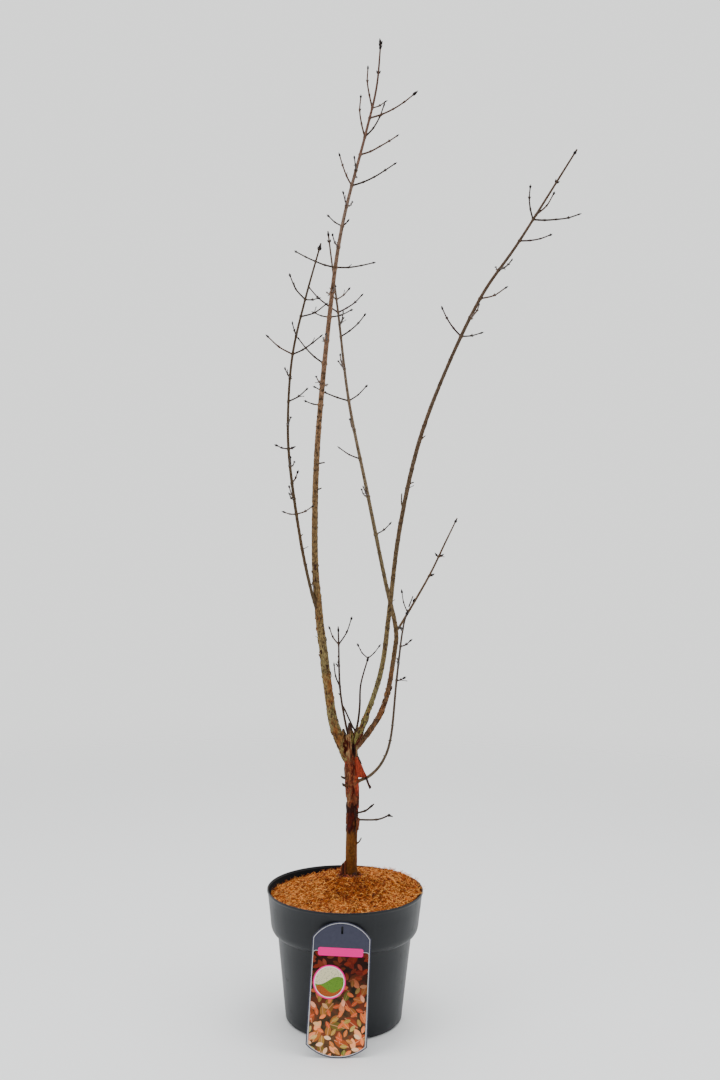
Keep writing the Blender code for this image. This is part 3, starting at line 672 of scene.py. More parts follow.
# The card leans until its head is a hair off the rim, whose radius depends on how high the head then is
lean = 0.0
for _ in range(LEAN_ROUNDS):
    rim_radius = np.interp(LABEL_HEIGHT * math.cos(lean), *RIM_BAND)
    lean = math.asin((-LABEL_FOOT_Y - rim_radius - CARD_GAP - LABEL_THICKNESS) / LABEL_HEIGHT)
tip_over = Euler((-lean, math.radians(LABEL_ROLL), 0)).to_matrix()
bmesh.ops.rotate(bm, verts=bm.verts, cent=(0, 0, 0), matrix=tip_over)
lowest = min(corner.co.z for corner in bm.verts)
bmesh.ops.translate(bm, verts=bm.verts, vec=(LABEL_X, LABEL_FOOT_Y, -lowest))
label = settle("label_card", bm, [card, card_back], "root", 30)
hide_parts("care_label")


# The trunk and boughs: young wood, grown in one. The trunk's papery bark peels in cinnamon sheets over a dark
# band, its foot and the boughs are still smooth, and flakes start on the lowest part of each bough.

# Lines through the middle of the wood: x, y, height and radius in millimetres
TRUNK_LINE = [
    (9, 36, 205.5, 11.6), (9, 36, 210, 10.5), (9, 36, 222, 9.6), (9, 36, 269, 9.2), (10, 36, 312, 9.6),
    (9, 36, 350, 10.0), (6.5, 36, 391, 10.2), (6, 36, 412, 11.0), (6, 36, 430, 10.0), (6, 36, 440, 6.5),
    (6, 36, 446, 3.0), (5, 36, 456, 2.2),
]
LEADER_LINE = [
    (6, 36, 390, 8.2), (-7.5, 36, 419, 8.1), (-18.5, 37, 446, 8.2), (-26.2, 38.3, 476, 7.4),
    (-40.5, 43, 575, 6.9), (-49, 45, 642, 6.4), (-56, 47, 735, 5.3), (-54, 50, 900, 4.9),
    (-37, 46, 1109, 3.8), (-18, 38, 1253, 3.0), (17, 34, 1396, 2.3), (34, 32, 1471, 1.8), (40, 30, 1541, 1.3),
]
LEFT_STEM_LINE = [
    (-48, 45, 628, 2.9), (-60, 35, 667, 2.8), (-77, 1, 751, 2.7), (-94, -20, 870, 2.3), (-97, -26, 950, 2.0),
    (-91, -26, 1038, 2.0), (-73, -19, 1124, 1.8), (-50, -8, 1214, 1.4),
]
RIGHT_BOUGH_LINE = [
    (8, 34, 418, 4.5), (30, 21, 471, 4.4), (53, 7, 547, 4.2), (64, -5, 640, 4.0), (77, -19, 762, 3.7),
    (102, -34, 890, 3.5), (139, -44, 999, 3.0), (195, -53, 1122, 2.6), (253, -59, 1209, 2.2),
    (337, -66, 1346, 1.4),
]
MIDDLE_BOUGH_LINE = [
    (8, 38, 410, 4.4), (30.5, 41, 436.5, 4.7), (59.5, 53, 485, 4.2), (75, 73, 565, 4.1), (77, 83, 608, 4.0),
    (59, 97, 685, 3.6), (27, 116, 834, 3.1), (-5, 131, 984, 2.6), (-25, 141, 1134, 2.0),
    (-44, 146, 1272, 1.3),
]
SIDE_BRANCH_LINE = [
    (77, 82, 599, 2.1), (94, 89, 626, 2.1), (132, 101, 692, 1.8), (160, 111, 750, 1.5), (179, 119, 789, 1.1)]
LOW_BRANCH_LINE = [
    (9, 36, 360, 2.2), (36, 31, 373, 2.5), (57, 9, 402, 2.3), (69, -12, 446, 2.0), (76, -29, 535, 1.8),
    (84, -35, 612, 1.5), (92, -38, 646, 1.1)]
FRONT_SHOOT_LINE = [
    (6, 36, 427, 1.9), (-1, 30, 449, 1.9), (-12, 16, 514, 1.7), (-15, 6, 589, 1.4), (-16, 2, 615, 1.0)]
BACK_SHOOT_LINE = [
    (8, 38, 425, 1.9), (16, 47, 452, 1.9), (19.5, 53, 481, 1.8), (21, 59, 517, 1.5), (33, 68, 561, 1.2)]
UPPER_SPRIG_LINE = [(10, 34, 311, 1.6), (30, 27, 318, 1.6), (38, 23, 325, 1.4), (44, 19, 331, 1.1)]
LOWER_SPRIG_LINE = [(10, 38, 301, 1.7), (49, 44, 300, 1.6), (69, 44, 307, 1.4), (75, 44, 305, 1.1)]

# Opposite pairs of twigs: height of the joint, then length and rise in degrees, left and right
LEADER_PAIRS = [
    (968, 24, 14, 0, 0), (1034, 58, 43, 0, 0), (1109, 26, 16, 39, 21), (1188, 68, 20, 64, 11),
    (1253, 28, 38, 12, 40), (1317, 52, 69, 77, 25), (1366, 0, 0, 73, 30), (1394, 64, 83, 60, 56),
    (1424, 0, 0, 80, 26), (1440, 64, 85, 23, 23),
]
LEFT_STEM_PAIRS = [
    (791, 20, 8, 28, 26), (839, 0, 0, 19, 64), (892, 19, 15, 8, 19), (965, 0, 0, 35, 36),
    (1038, 47, 34, 52, 32), (1097, 0, 0, 44, 24), (1124, 46, 56, 21, 10),
]
RIGHT_BOUGH_PAIRS = [
    (1065, 53, 56, 31, 11), (1122, 0, 0, 43, 21), (1209, 0, 0, 48, 12), (1241, 50, 83, 69, 4),
    (1248, 0, 0, 43, 50),
]
MIDDLE_BOUGH_PAIRS = [
    (760, 0, 0, 31, 36), (886, 40, 28, 0, 0), (984, 62, 22, 40, 42), (1093, 0, 0, 54, 40),
    (1134, 63, 40, 51, 38), (1156, 11, 44, 28, 42),
]
SIDE_BRANCH_PAIRS = [(692, 0, 0, 6, 20), (724, 5, 40, 6, 20)]
LOW_BRANCH_PAIRS = [(535, 0, 0, 12, 18), (588, 0, 0, 18, 29), (642, 32, 76, 20, 62)]
FRONT_SHOOT_PAIRS = [(518, 36, 75, 0, 0), (586, 30, 59, 46, 65)]
BACK_SHOOT_PAIRS = [(558, 27, 50, 27, 50)]

# Each stem: its name, line, where its twigs begin, its pairs and the length of the pairs between those. Where
# no height is given, the whole stem is a mass of twigs
STEMS = [
    ("leader", LEADER_LINE, 955, LEADER_PAIRS, 52),
    ("left_stem", LEFT_STEM_LINE, 780, LEFT_STEM_PAIRS, 34),
    ("right_bough", RIGHT_BOUGH_LINE, 1052, RIGHT_BOUGH_PAIRS, 50),
    ("middle_bough", MIDDLE_BOUGH_LINE, 746, MIDDLE_BOUGH_PAIRS, 50),
    ("side_branch", SIDE_BRANCH_LINE, 664, SIDE_BRANCH_PAIRS, 26),
    ("low_branch", LOW_BRANCH_LINE, 505, LOW_BRANCH_PAIRS, 24),
    ("front_shoot", FRONT_SHOOT_LINE, None, FRONT_SHOOT_PAIRS, 24),
    ("back_shoot", BACK_SHOOT_LINE, None, BACK_SHOOT_PAIRS, 22),
    ("upper_sprig", UPPER_SPRIG_LINE, None, [], 0),
    ("lower_sprig", LOWER_SPRIG_LINE, None, [], 0),
]
# Dead stubs and broken ends, as short lines like those above
STUB_LINES = [
    [(12, 34, 361, 3.6), (20, 32, 365, 3.0), (28, 31, 369.5, 2.3)],
    [(14, 30, 372, 2.6), (18, 28, 369, 2.3), (21, 27, 366, 1.6)],
    [(5, 30, 424, 4.4), (4, 29, 438, 3.8), (3.5, 29, 448, 3.0), (3.2, 29.3, 454, 2.5), (2.9, 29.5, 459, 1.6)],
    [(1, 32, 420, 4.0), (-3, 31, 434, 3.6), (-5.5, 31, 443, 3.0), (-6.5, 31, 448.5, 2.0)],
    [(10, 32, 430, 2.4), (15, 29, 441, 1.9), (17, 28, 446, 1.2)],
    [(10, 36, 418, 4.6), (16.5, 34, 430, 4.4), (22, 33, 439, 3.6), (25, 33, 444, 2.4)],
]
THIN_STUBS = [  # the same, too thin to be fused with the trunk
    [(3, 33, 368, 2.6), (-3, 28, 370, 2.2), (-7, 27, 371.5, 1.7), (-9, 27, 373.5, 1.0)],
    [(3, 34, 357, 2.6), (-2.5, 29, 358, 2.4), (-5.5, 28, 359.5, 2.0), (-6.3, 28, 362, 1.2)],
    [(93, -38, 650, 1.1), (96.5, -38, 659, 1.0), (99.4, -38, 667, 0.8)],
    [(14, 34, 262, 1.6), (20, 32, 266, 1.3), (23.5, 31, 271, 1.1), (24.5, 31, 274, 0.8)],
    [(-56, 46, 872, 1.4), (-48, 43, 874, 1.3), (-41.5, 41, 875, 1.1)],
    [(-57, 46, 831, 1.4), (-51, 42, 832, 1.3), (-46, 41, 834, 1.1)],
    [(12.5, 33, 434, 1.6), (12, 32, 446, 1.6), (8.3, 29, 453, 1.5), (1.9, 26, 467, 1.4),
     (-3.5, 23.5, 479, 1.4), (-6.6, 22, 486, 1.2)],
    [(-10.5, 18, 503, 1.1), (-12.4, 17, 505.2, 1.0), (-14.6, 16, 507.5, 0.8)],
    [(19, 28.5, 450, 1.5), (15.5, 28, 452.5, 1.3), (14, 27.5, 453.5, 0.9)],
    [(24, 37, 436, 1.5), (25.5, 36.5, 444, 1.4), (28.5, 36, 452.5, 1.3), (32.6, 34.5, 461, 1.2),
     (34.6, 32.5, 469.6, 0.9)],
    [(85, -23, 800, 1.4), (80.5, -25, 808, 1.2), (80.5, -26, 825, 1.0)],
    [(92, -27, 839, 1.3), (96, -29, 841.5, 1.1), (99, -30, 842, 0.8)],
    [(108, -36, 906, 1.2), (112, -37, 911, 1.0), (115.5, -38, 914, 0.7)],
    [(-32, 42, 1150, 1.1), (-35, 40, 1152, 1.0), (-37, 39, 1155, 0.6)],
    [(-78, 0, 756, 1.1), (-75, -1, 758, 1.0), (-73, -2, 760, 0.6)],
]
RELIEF_STEP = 5 * MM
STUB_STEP = 2 * MM
BARK_VOXEL = 0.94 * MM
BARK_SIDES = 18
BARK_OVERLAP = 6 * MM  # how far the bark goes on under the stems above it
FUSED = ("leader", "left_stem", "right_bough", "middle_bough")  # the other limbs are thin


def smooth_line(points, step):
    """A smooth curve through x, y, height and radius points, as (spot, radius) pairs."""
    knots = np.array(points, dtype=float) * MM
    padded = np.vstack([2 * knots[0] - knots[1], knots, 2 * knots[-1] - knots[-2]])
    line = []
    for before, start, end, after in zip(padded, padded[1:], padded[2:], padded[3:]):
        parts = max(1, round(np.linalg.norm((end - start)[:3]) / step))
        for part in range(parts):
            t = part / parts
            bent = 0.5 * (
                2 * start + (end - before) * t + (2 * before - 5 * start + 4 * end - after) * t ** 2
                + (3 * start - before - 3 * end + after) * t ** 3)
            line.append((Vector(bent[:3]), float(start[3] + (end[3] - start[3]) * t)))
    line.append((Vector(knots[-1][:3]), float(knots[-1][3])))
    return line


def spot_at(line, height):
    """Where a line first passes a height, and its radius there."""
    for (low, low_radius), (high, high_radius) in zip(line, line[1:]):
        if low.z <= height <= high.z:
            share = (height - low.z) / (high.z - low.z)
            return low.lerp(high, share), low_radius + (high_radius - low_radius) * share
    return line[-1]


def part_of_line(line, low, high):
    """The stretch of a line between two heights."""
    kept = [(spot, radius) for spot, radius in line if low < spot.z < high]
    ends = [spot_at(line, low)] if line[0][0].z < low else []
    tail = [spot_at(line, high)] if line[-1][0].z > high else []
    return ends + kept + tail


fine_lines = {"trunk": smooth_line(TRUNK_LINE, RELIEF_STEP)}
fine_lines.update({name: smooth_line(points, RELIEF_STEP) for name, points, *_ in STEMS})
limb_rods = [fine_lines["trunk"]]
for name, _, twigs_from, *_ in STEMS:
    if name in FUSED:
        limb_rods.append(part_of_line(fine_lines[name], 0, twigs_from * MM + BARK_OVERLAP))
limb_rods += [smooth_line(points, STUB_STEP) for points in STUB_LINES]

# Old joints along the boughs, where bud scars ring the wood
FIRST_JOINT = 50 * MM
JOINT_GAPS = (22, 68)  # millimetres from one to the next
JOINTS_END = 15 * MM  # below the first twigs
RING_WIDTH = 1.5 * MM
RING_RISE = 0.3 * MM  # at most
RING_RISE_SHARE = 0.085  # of the wood's radius
RING_REACH = 4 * MM  # out from the wood
RING_WAVE = 0.8
RING_WAVE_SCALE = 300
RING_TONE = (0.035, 0.018, 0.012)
RING_DARKENS = 0.5 * MM
RING_DARKEST = 0.4
RING_LEVEL = 10 * MM  # rings are looked up by the height they stand at, in steps of this
rng = random.Random("joints")
old_joints = []
for name, _, twigs_from, *_ in STEMS:
    line = fine_lines[name]
    height = line[0][0].z + FIRST_JOINT
    top = twigs_from * MM if twigs_from else line[0][0].z
    while height < top - JOINTS_END:
        old_joints.append(spot_at(line, height))
        height += rng.uniform(*JOINT_GAPS) * MM
rings = {}
for centre, radius in old_joints:
    for level in (-1, 0, 1):
        rings.setdefault(round(centre.z / RING_LEVEL) + level, []).append((centre, radius))

raw = add("raw_bark", rods(limb_rods, BARK_SIDES))
remesh = raw.modifiers.new("fuse", "REMESH")
remesh.mode = "VOXEL"
remesh.voxel_size = BARK_VOXEL * 1
smooth = raw.modifiers.new("ease", "SMOOTH")
smooth.factor = 0.5
smooth.iterations = 3
fused = bpy.data.meshes.new_from_object(raw.evaluated_get(bpy.context.evaluated_depsgraph_get()))
bpy.data.objects.remove(raw, do_unlink=True)

guide_points = [(spot, radius, name) for name, line in fine_lines.items() for spot, radius in line]
tree = KDTree(len(guide_points))
for index, (spot, _, _) in enumerate(guide_points):
    tree.insert(spot, index)
tree.balance()
NEAR_POINTS = 6  # how many of a limb's points are compared


def nearest_limb(spot):
    """The limb whose skin is nearest to a point."""
    found = tree.find_n(spot, NEAR_POINTS)
    _, index, _ = min(found, key=lambda row: row[2] - guide_points[row[1]][1])
    return guide_points[index]


def clip(value):
    """Keep a value between 0 and 1."""
    return max(0.0, min(1.0, value))


def blend(a, b, share):
    """A colour between a and b."""
    share = clip(share)
    return tuple(first + (second - first) * share for first, second in zip(a, b))


def band(value, low, high, soft):
    """1 between low and high, falling to 0 over soft on both sides."""
    return clip((value - low) / soft) * clip((high - value) / soft)


RUST = (0.20, 0.060, 0.012)
OLIVE_BROWN = (0.080, 0.026, 0.0025)
PALE_BROWN = (0.160, 0.062, 0.011)
CINNAMON = (0.205, 0.048, 0.0165)
ORANGE = (0.36, 0.034, 0.010)
NEAR_BLACK = (0.0125, 0.0022, 0.0010)
BAND_BLACK = (0.022, 0.0019, 0.0007)
LIMB_CRACK = (0.030, 0.0105, 0.0045)
DARK_RED = (0.074, 0.0060, 0.0018)
FORK_OLIVE = (0.240, 0.148, 0.066)
STUMP_GREY = (0.046, 0.020, 0.014)
MOSSY = (0.16, 0.135, 0.022)
FOOT_GREY = (0.105, 0.066, 0.030)
DEEP_BROWN = (0.045, 0.026, 0.012)
PALE_EDGE = (0.22, 0.105, 0.045)
LIMB_TONES = {  # height, colour
    "leader": [
        (400, (0.19, 0.135, 0.046)), (520, (0.225, 0.185, 0.074)), (640, (0.200, 0.126, 0.050)),
        (760, (0.170, 0.108, 0.044)), (930, (0.21, 0.120, 0.062)), (1060, (0.21, 0.115, 0.070)),
        (1170, (0.18, 0.100, 0.062)), (1260, (0.20, 0.132, 0.098)), (1400, (0.13, 0.068, 0.050)),
        (1541, (0.075, 0.042, 0.032))],
    "left_stem": [(628, (0.085, 0.056, 0.028)), (1214, (0.048, 0.032, 0.021))],
    "right_bough": [
        (418, (0.180, 0.162, 0.042)), (470, (0.180, 0.158, 0.050)), (510, (0.165, 0.140, 0.058)),
        (640, (0.145, 0.098, 0.042)), (760, (0.100, 0.066, 0.036)), (900, (0.098, 0.066, 0.042)),
        (1346, (0.075, 0.048, 0.034))],
    "middle_bough": [
        (410, (0.150, 0.084, 0.050)), (500, (0.115, 0.062, 0.030)), (600, (0.100, 0.062, 0.026)),
        (700, (0.135, 0.102, 0.050)), (900, (0.165, 0.122, 0.076)), (1000, (0.140, 0.100, 0.068)),
        (1272, (0.080, 0.052, 0.038))],
    "side_branch": [(599, (0.100, 0.062, 0.032)), (789, (0.080, 0.050, 0.034))],
    "low_branch": [(360, (0.130, 0.098, 0.056)), (430, (0.080, 0.058, 0.040)), (646, (0.062, 0.042, 0.034))],
    "front_shoot": [(427, (0.044, 0.028, 0.020)), (615, (0.044, 0.028, 0.023))],
    "back_shoot": [(425, (0.044, 0.027, 0.021)), (561, (0.042, 0.027, 0.023))],
    "upper_sprig": [(311, (0.050, 0.034, 0.026)), (331, (0.042, 0.029, 0.025))],
    "lower_sprig": [(301, (0.065, 0.046, 0.036)), (305, (0.048, 0.034, 0.030))],
}
# Stretches of the trunk, as heights in millimetres
PEELING = (284, 460)
RED_BARK = (284, 408)
DARK_BAND = (284, 331)
BLACK_BAND = (311, 331)
FORK = (396, 470)
SMOOTH_FOOT = (200, 216)
# Flakes thin out upwards from this height over these lengths, on wood that is thicker than this
FLAKES_FROM = 400
FLAKES_REACH = {"leader": 330, "middle_bough": 180}
OTHER_FLAKES_REACH = 45
FLAKED_RADIUS = 2.2 * MM
# Marks on the trunk: colour, middle and half width in degrees round it (-90 is the front), low and high, and
# how far the wood stands back there in millimetres. The near-black marks, and the deep dark red one at the
# fork's left, are painted shade in the hollows where the wood stands back, the dark red one over the bark's
# own dark red.
TRUNK_MARKS = [
    (ORANGE, -8, 21, 318, 372, -0.3), (ORANGE, 150, 16, 330, 376, -0.3),
    (PALE_EDGE, -124, 15, 330, 384, 0.0), (DARK_RED, -80, 12, 338, 392, 0.3),
    # Painted shade: the near-black mark at the left darkens a hollow
    (DARK_RED, 60, 18, 335, 398, 0.3), (NEAR_BLACK, -165, 14, 352, 372, 0.8),
    (RUST, -42, 22, 283, 306, 0.0), (RUST, 120, 25, 281, 302, 0.0),
    # Painted shade: the near-black mark darkens the hollow under the pale edge that stands out above it
    (PALE_EDGE, -88, 4, 281, 285, -0.3), (NEAR_BLACK, -82, 7, 276, 281, 1.0),
    (ORANGE, -32, 20, 372, 402, 0.0), (ORANGE, 95, 22, 376, 400, 0.0),
    # Painted shade: the deep dark red and near-black marks from here on darken the fork's cavities and
    # crotch, the dark red one over the bark's own dark red
    (DARK_RED, -145, 13, 402, 440, 3.0), (NEAR_BLACK, -62, 8, 404, 438, 2.2),
    (NEAR_BLACK, -12, 13, 426, 450, 1.2), (MOSSY, -82, 9, 426, 446, 0.0),
    (DARK_RED, -22, 22, 424, 446, 0.3), (STUMP_GREY, -90, 42, 442, 470, 0.0),
    (NEAR_BLACK, 50, 12, 405, 438, 2.5), (NEAR_BLACK, 132, 11, 402, 438, 2.5),
]
MARKED = (270, 462)
MARK_REACH = 17 * MM
MARK_RAGGED = (26, 9)  # how ragged a mark is at its sides, in degrees, and at its ends, in millimetres
MARK_SOFT = (5, 3)  # and how soft
THIN_WOOD = 5 * MM  # wood thinner than this has less relief
FORK_FROM = 380  # above this height the marks are set round the fork, which is a little to the left
FORK_SHIFT = 2 * MM


def trunk_bark(x, y, z, to_right, ragged, fine, broad):
    """On the trunk: wood, peeling red bark, the torn wood of the fork, the dark band and the foot."""
    peeling = band(z + 5 * ragged, *PEELING, 5)
    sheet = clip((ragged + 0.10) / 0.10) * peeling
    outer = clip((ragged - 0.16 + 0.2 * broad) / 0.07) * peeling
    lift = 0.45 * sheet + 0.45 * outer + 0.25 * broad - 0.9 * peeling
    # Painted light: the wood is paler on the trunk's left side and darker on its right, as if lit from the
    # left
    colour = blend(OLIVE_BROWN, PALE_BROWN, 0.25 + 0.9 * broad - 0.45 * to_right + 0.9 * fine)
    colour = blend(colour, RUST, 0.1 + 0.6 * ragged)
    weave = noise.noise(Vector((x * 0.22, y * 0.22, z * 0.9)))
    red = blend(DARK_RED, CINNAMON, 0.50 + 0.9 * sheet + 2.5 * fine + 2.2 * weave)
    # Painted light: the pale streaks of the red bark, and the pale edges of its outer sheets below, lean
    # towards the left side
    red = blend(red, PALE_EDGE, 1.3 * (weave - 0.12 - 0.2 * to_right))
    crack = noise.noise(Vector((x * 0.55, y * 0.55, z * 0.09)))
    red = blend(red, NEAR_BLACK, 2.8 * (crack - 0.2))
    red = blend(red, PALE_EDGE, 0.5 * outer * (0.5 - 0.4 * to_right))
    colour = blend(colour, red, band(z + 7 * ragged, *RED_BARK, 4))
    fork = band(z + 12 * ragged, *FORK, 10)
    strip = noise.noise(Vector((x * 0.42, y * 0.42, z * 0.035)))
    torn = blend(CINNAMON, FORK_OLIVE, 0.55 + 2.2 * strip + 0.9 * fine)
    # Painted shade: the torn wood darkens towards near-black in the grooves where the strips dip
    colour = blend(colour, blend(torn, NEAR_BLACK, -2.8 * strip), fork)
    dark = band(z + 6 * ragged - 5 * to_right, *DARK_BAND, 5)
    black = max(0.2 + 1.6 * ragged, band(z + 3 * ragged, *BLACK_BAND, 4), 1.6 * abs(to_right) - 1.0)
    colour = blend(colour, blend(DARK_RED, BAND_BLACK, black), dark)
    foot = band(z, SMOOTH_FOOT[0], SMOOTH_FOOT[1] + 6 * broad, 5)
    return lift + 1.3 * strip * fork, blend(colour, FOOT_GREY, 0.6 * foot)


def limb_bark(x, y, z, limb, radius, ragged, fine, broad):
    """On a bough or stem: its own tone at each height, mottled and cracked, with flakes low down."""
    levels = [level for level, _ in LIMB_TONES[limb]]
    tone = [float(np.interp(z, levels, [shade[side] for _, shade in LIMB_TONES[limb]])) for side in range(3)]
    flaky = 1 - (z - FLAKES_FROM) / FLAKES_REACH.get(limb, OTHER_FLAKES_REACH)
    flaky = clip(1.3 * flaky) if radius > FLAKED_RADIUS else 0.0
    sheet = clip((ragged - 0.02) / 0.08)
    mottle = noise.fractal(Vector((x * 0.26, y * 0.26, z * 0.20)), 0.8, 2.2, 3)
    thick = min(1.0, radius / (4.5 * MM))
    colour = blend(tone, DEEP_BROWN, thick * (0.18 + 1.5 * mottle))
    rusty = thick * max(0.0, 0.15 + 1.5 * broad + 0.6 * ragged)
    colour = blend(colour, RUST, (0.10 + 0.75 * flaky) * rusty)
    colour = blend(colour, LIMB_CRACK, (0.25 + 0.6 * flaky) * thick * band(ragged, -0.09, 0.03, 0.035))
    lift = (0.08 + 0.42 * flaky) * sheet + 0.10 * broad + 0.45 * mottle - 0.1
    return lift, blend(colour, PALE_EDGE, 0.25 * thick * max(0.0, fine))


def bark_at(spot):
    """The bark's lift over the wood and its colour at a point of the skin."""
    axis, radius, limb = nearest_limb(spot)
    x, y, z = spot / MM
    ragged = noise.fractal(Vector((x * 0.16, y * 0.16, z * 0.05)), 0.75, 2.1, 5)
    fine = noise.fractal(Vector((x * 0.55, y * 0.55, z * 0.30)), 0.7, 2.2, 3)
    broad = noise.noise(Vector((x * 0.06, y * 0.06, z * 0.018)))
    if limb == "trunk":
        to_right = (spot.x - axis.x) / max(radius, MM)
        lift, colour = trunk_bark(x, y, z, to_right, ragged, fine, broad)
    else:
        lift, colour = limb_bark(x, y, z, limb, radius, ragged, fine, broad)
    lift += 0.12 * fine
    if MARKED[0] < z < MARKED[1] and (spot.xy - Vector((TRUNK_X, TRUNK_Y))).length < MARK_REACH:
        middle_x = TRUNK_X - FORK_SHIFT if z > FORK_FROM else TRUNK_X
        turn = math.degrees(math.atan2(spot.y - TRUNK_Y, spot.x - middle_x))
        for mark, middle, half, low, high, back in TRUNK_MARKS:
            aside = (turn - middle + 180) % 360 - 180
            share = band(aside + MARK_RAGGED[0] * ragged, -half, half, MARK_SOFT[0])
            share *= band(z + MARK_RAGGED[1] * ragged, low, high, MARK_SOFT[1])
            colour = blend(colour, blend(mark, NEAR_BLACK, -0.9 * fine), share)
            lift -= back * share
    return lift * min(1.0, radius / THIN_WOOD) * MM, colour


def ring_lift(spot):
    """How far the ring of an old joint stands proud of the wood."""
    proud = 0.0
    for centre, radius in rings.get(round(spot.z / RING_LEVEL), ()):
        if (centre - spot).length < radius + RING_REACH:
            along = spot.z - centre.z + noise.noise(spot * RING_WAVE_SCALE) * RING_WAVE * MM
            rise = min(RING_RISE, RING_RISE_SHARE * radius)
            proud = max(proud, math.exp(-((along / RING_WIDTH) ** 2)) * rise)
    return proud


def paint(mesh, tones):
    """Give each point of a mesh the colour that its bark has there."""
    tone = mesh.attributes.new("tone", "FLOAT_COLOR", "POINT")
    tone.data.foreach_set("color", tones)


count = len(fused.vertices)
places = np.empty(count * 3)
normals = np.empty(count * 3)
fused.vertices.foreach_get("co", places)
fused.vertex_normals.foreach_get("vector", normals)
places, normals = places.reshape(-1, 3), normals.reshape(-1, 3)
tones = np.ones((count, 4))
for index in range(count):
    spot = Vector(places[index])
    lift, colour = bark_at(spot)
    ring = ring_lift(spot)
    tones[index, :3] = blend(colour, RING_TONE, min(RING_DARKEST, ring / RING_DARKENS))
    places[index] += normals[index] * (lift + ring)
fused.vertices.foreach_set("co", places.ravel())
paint(fused, tones.ravel())
fused.update()

bark = Finish("bark", {"Specular IOR Level": 0.12})
tone = bark.node("ShaderNodeAttribute", {"attribute_name": "tone"}, {}, "Color")
spot = bark.place()
grain = bark.speckle(bark.place((1, 1, 0.3)), 900, 4, 0.65)
fleck = bark.speckle(spot, 420, 3, 0.6)
contrast = bark.ramp(grain, (0.3, (0.35, 0.35, 0.35)), (0.5, (1.0, 1.0, 1.0)), (0.7, (1.7, 1.7, 1.7)))
colour = bark.mix(1.0, tone, contrast, "MULTIPLY")
bark.set("Base Color", bark.mix(bark.step(fleck, 0.60, 0.72) * 0.25, colour, (0.16, 0.105, 0.055)))
bark.set("Roughness", 0.55 + grain * 0.3)
bark.bump(grain * 0.7 + fleck * 0.5, 0.7, 0.6 * MM)
wood = settle_mesh("bark", fused, bark, "root", 70)
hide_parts("trunk", *FUSED)


# Peeling bark: sheets a quarter of a millimetre thick that have split lengthways, stay fixed along one edge
# and curl off the wood. They are brightest where they have just opened.
PEEL_THICKNESS = 0.25 * MM
PEEL_ROWS, PEEL_COLUMNS = 6, 5
FLAP_ROWS, FLAP_COLUMNS = 9, 7
SHEETS = 70
SHEET_HEIGHTS = (288, 412)
SHEET_SIZES = ((5, 22), (1.4, 3.6), (10, 60))  # limits of height and width, and of the curl in degrees
DUSKY_TOP = 334  # most sheets below this height are dusky
DUSKY_SHARE = 0.85
FLAKES = 190
FLAKED_LIMBS = ("leader",) * 5 + ("right_bough", "middle_bough", "middle_bough")  # as often as each is drawn
FLAKES_START = 18  # above the limb's foot
FLAKES_LOW = 1.4  # more than 1 puts more of them low down
FLAKE_TOPS = {"leader": 720, "right_bough": 500, "middle_bough": 540}
FLAKE_SIZES = ((3, 10), (1.2, 2.8), (20, 85))
PEEL_LIFT = {"trunk": -0.25}  # how far sheets start off the wood
OTHER_PEEL_LIFT = 0.15
PEEL_CREASE = 0.4 * MM
FLAP_CREASE = 0.9
SCRAPS = 46
SCRAP_TURN = (235, 55)  # where they lie round the trunk: the middle and the spread, in degrees
SCRAP_AWAY = (12, 27)
SCRAP_HEIGHT = (0.2, 1.2)  # over the mat
SCRAP_LENGTH = (1.2, 4.5)  # half of it
SCRAP_WIDTH = (1.0, 2.8)
SCRAP_PITCH = (-0.1, 0.3)
SCRAP_ROLL = (0.0, 0.9)
SCRAP_BULGE = 0.3


def peel(bm, limb, height, turn, tall, wide, curl, hand=1):
    """One sheet of bark on a limb: it leaves the skin at an angle round the limb and curls outwards."""
    line = fine_lines[limb]
    made = bmesh.ops.create_grid(bm, x_segments=PEEL_COLUMNS, y_segments=PEEL_ROWS, size=0.5)["verts"]
    for corner in made:
        across, down = corner.co.x + 0.5, 0.5 - corner.co.y
        level, foot = (height - down * tall) * MM, line[0][0].z
        axis, radius = spot_at(line, max(level, foot))
        width = wide * (0.45 + 0.55 * math.sin(math.pi * (0.15 + 0.7 * down)))
        width *= 1 + 0.35 * noise.noise(Vector((down * 3.1, height * 0.37, turn * 0.11)))
        angle = math.radians(turn)
        reach = across * width * MM
        bend = math.radians(curl) * across ** 1.4
        tangent = Vector((-math.sin(angle), math.cos(angle), 0)) * hand
        out = Vector((math.cos(angle), math.sin(angle), 0))
        spot = axis + out * (radius + PEEL_LIFT.get(limb, OTHER_PEEL_LIFT) * MM)
        spot += tangent * reach * math.cos(bend * 0.55) + out * reach * math.sin(bend * 0.55)
        spot.z += min(0.0, level - foot)
        spot += out * (PEEL_CREASE * noise.noise(Vector((across * 4, down * 5, height * 0.7))))
        corner.co = spot


def flap(bm, corners, bulge, seed):
    """A loose sheet between its top left, top right, low right and low left corners, in millimetres."""
    top_left, top_right, low_right, low_left = (Vector(corner) * MM for corner in corners)
    made = bmesh.ops.create_grid(bm, x_segments=FLAP_COLUMNS, y_segments=FLAP_ROWS, size=0.5)["verts"]
    for corner in made:
        across, down = corner.co.x + 0.5, 0.5 - corner.co.y
        spot = top_left.lerp(top_right, across).lerp(low_left.lerp(low_right, across), down)
        spot.y -= bulge * MM * (math.sin(math.pi * across) + 0.4 * math.sin(math.pi * down))
        for side in range(3):
            crease = noise.noise(Vector((across * 2.6, down * 3.4, seed + 20 * side)))
            spot[side] += crease * FLAP_CREASE * MM * min(1.0, 3 * across)
        corner.co = spot


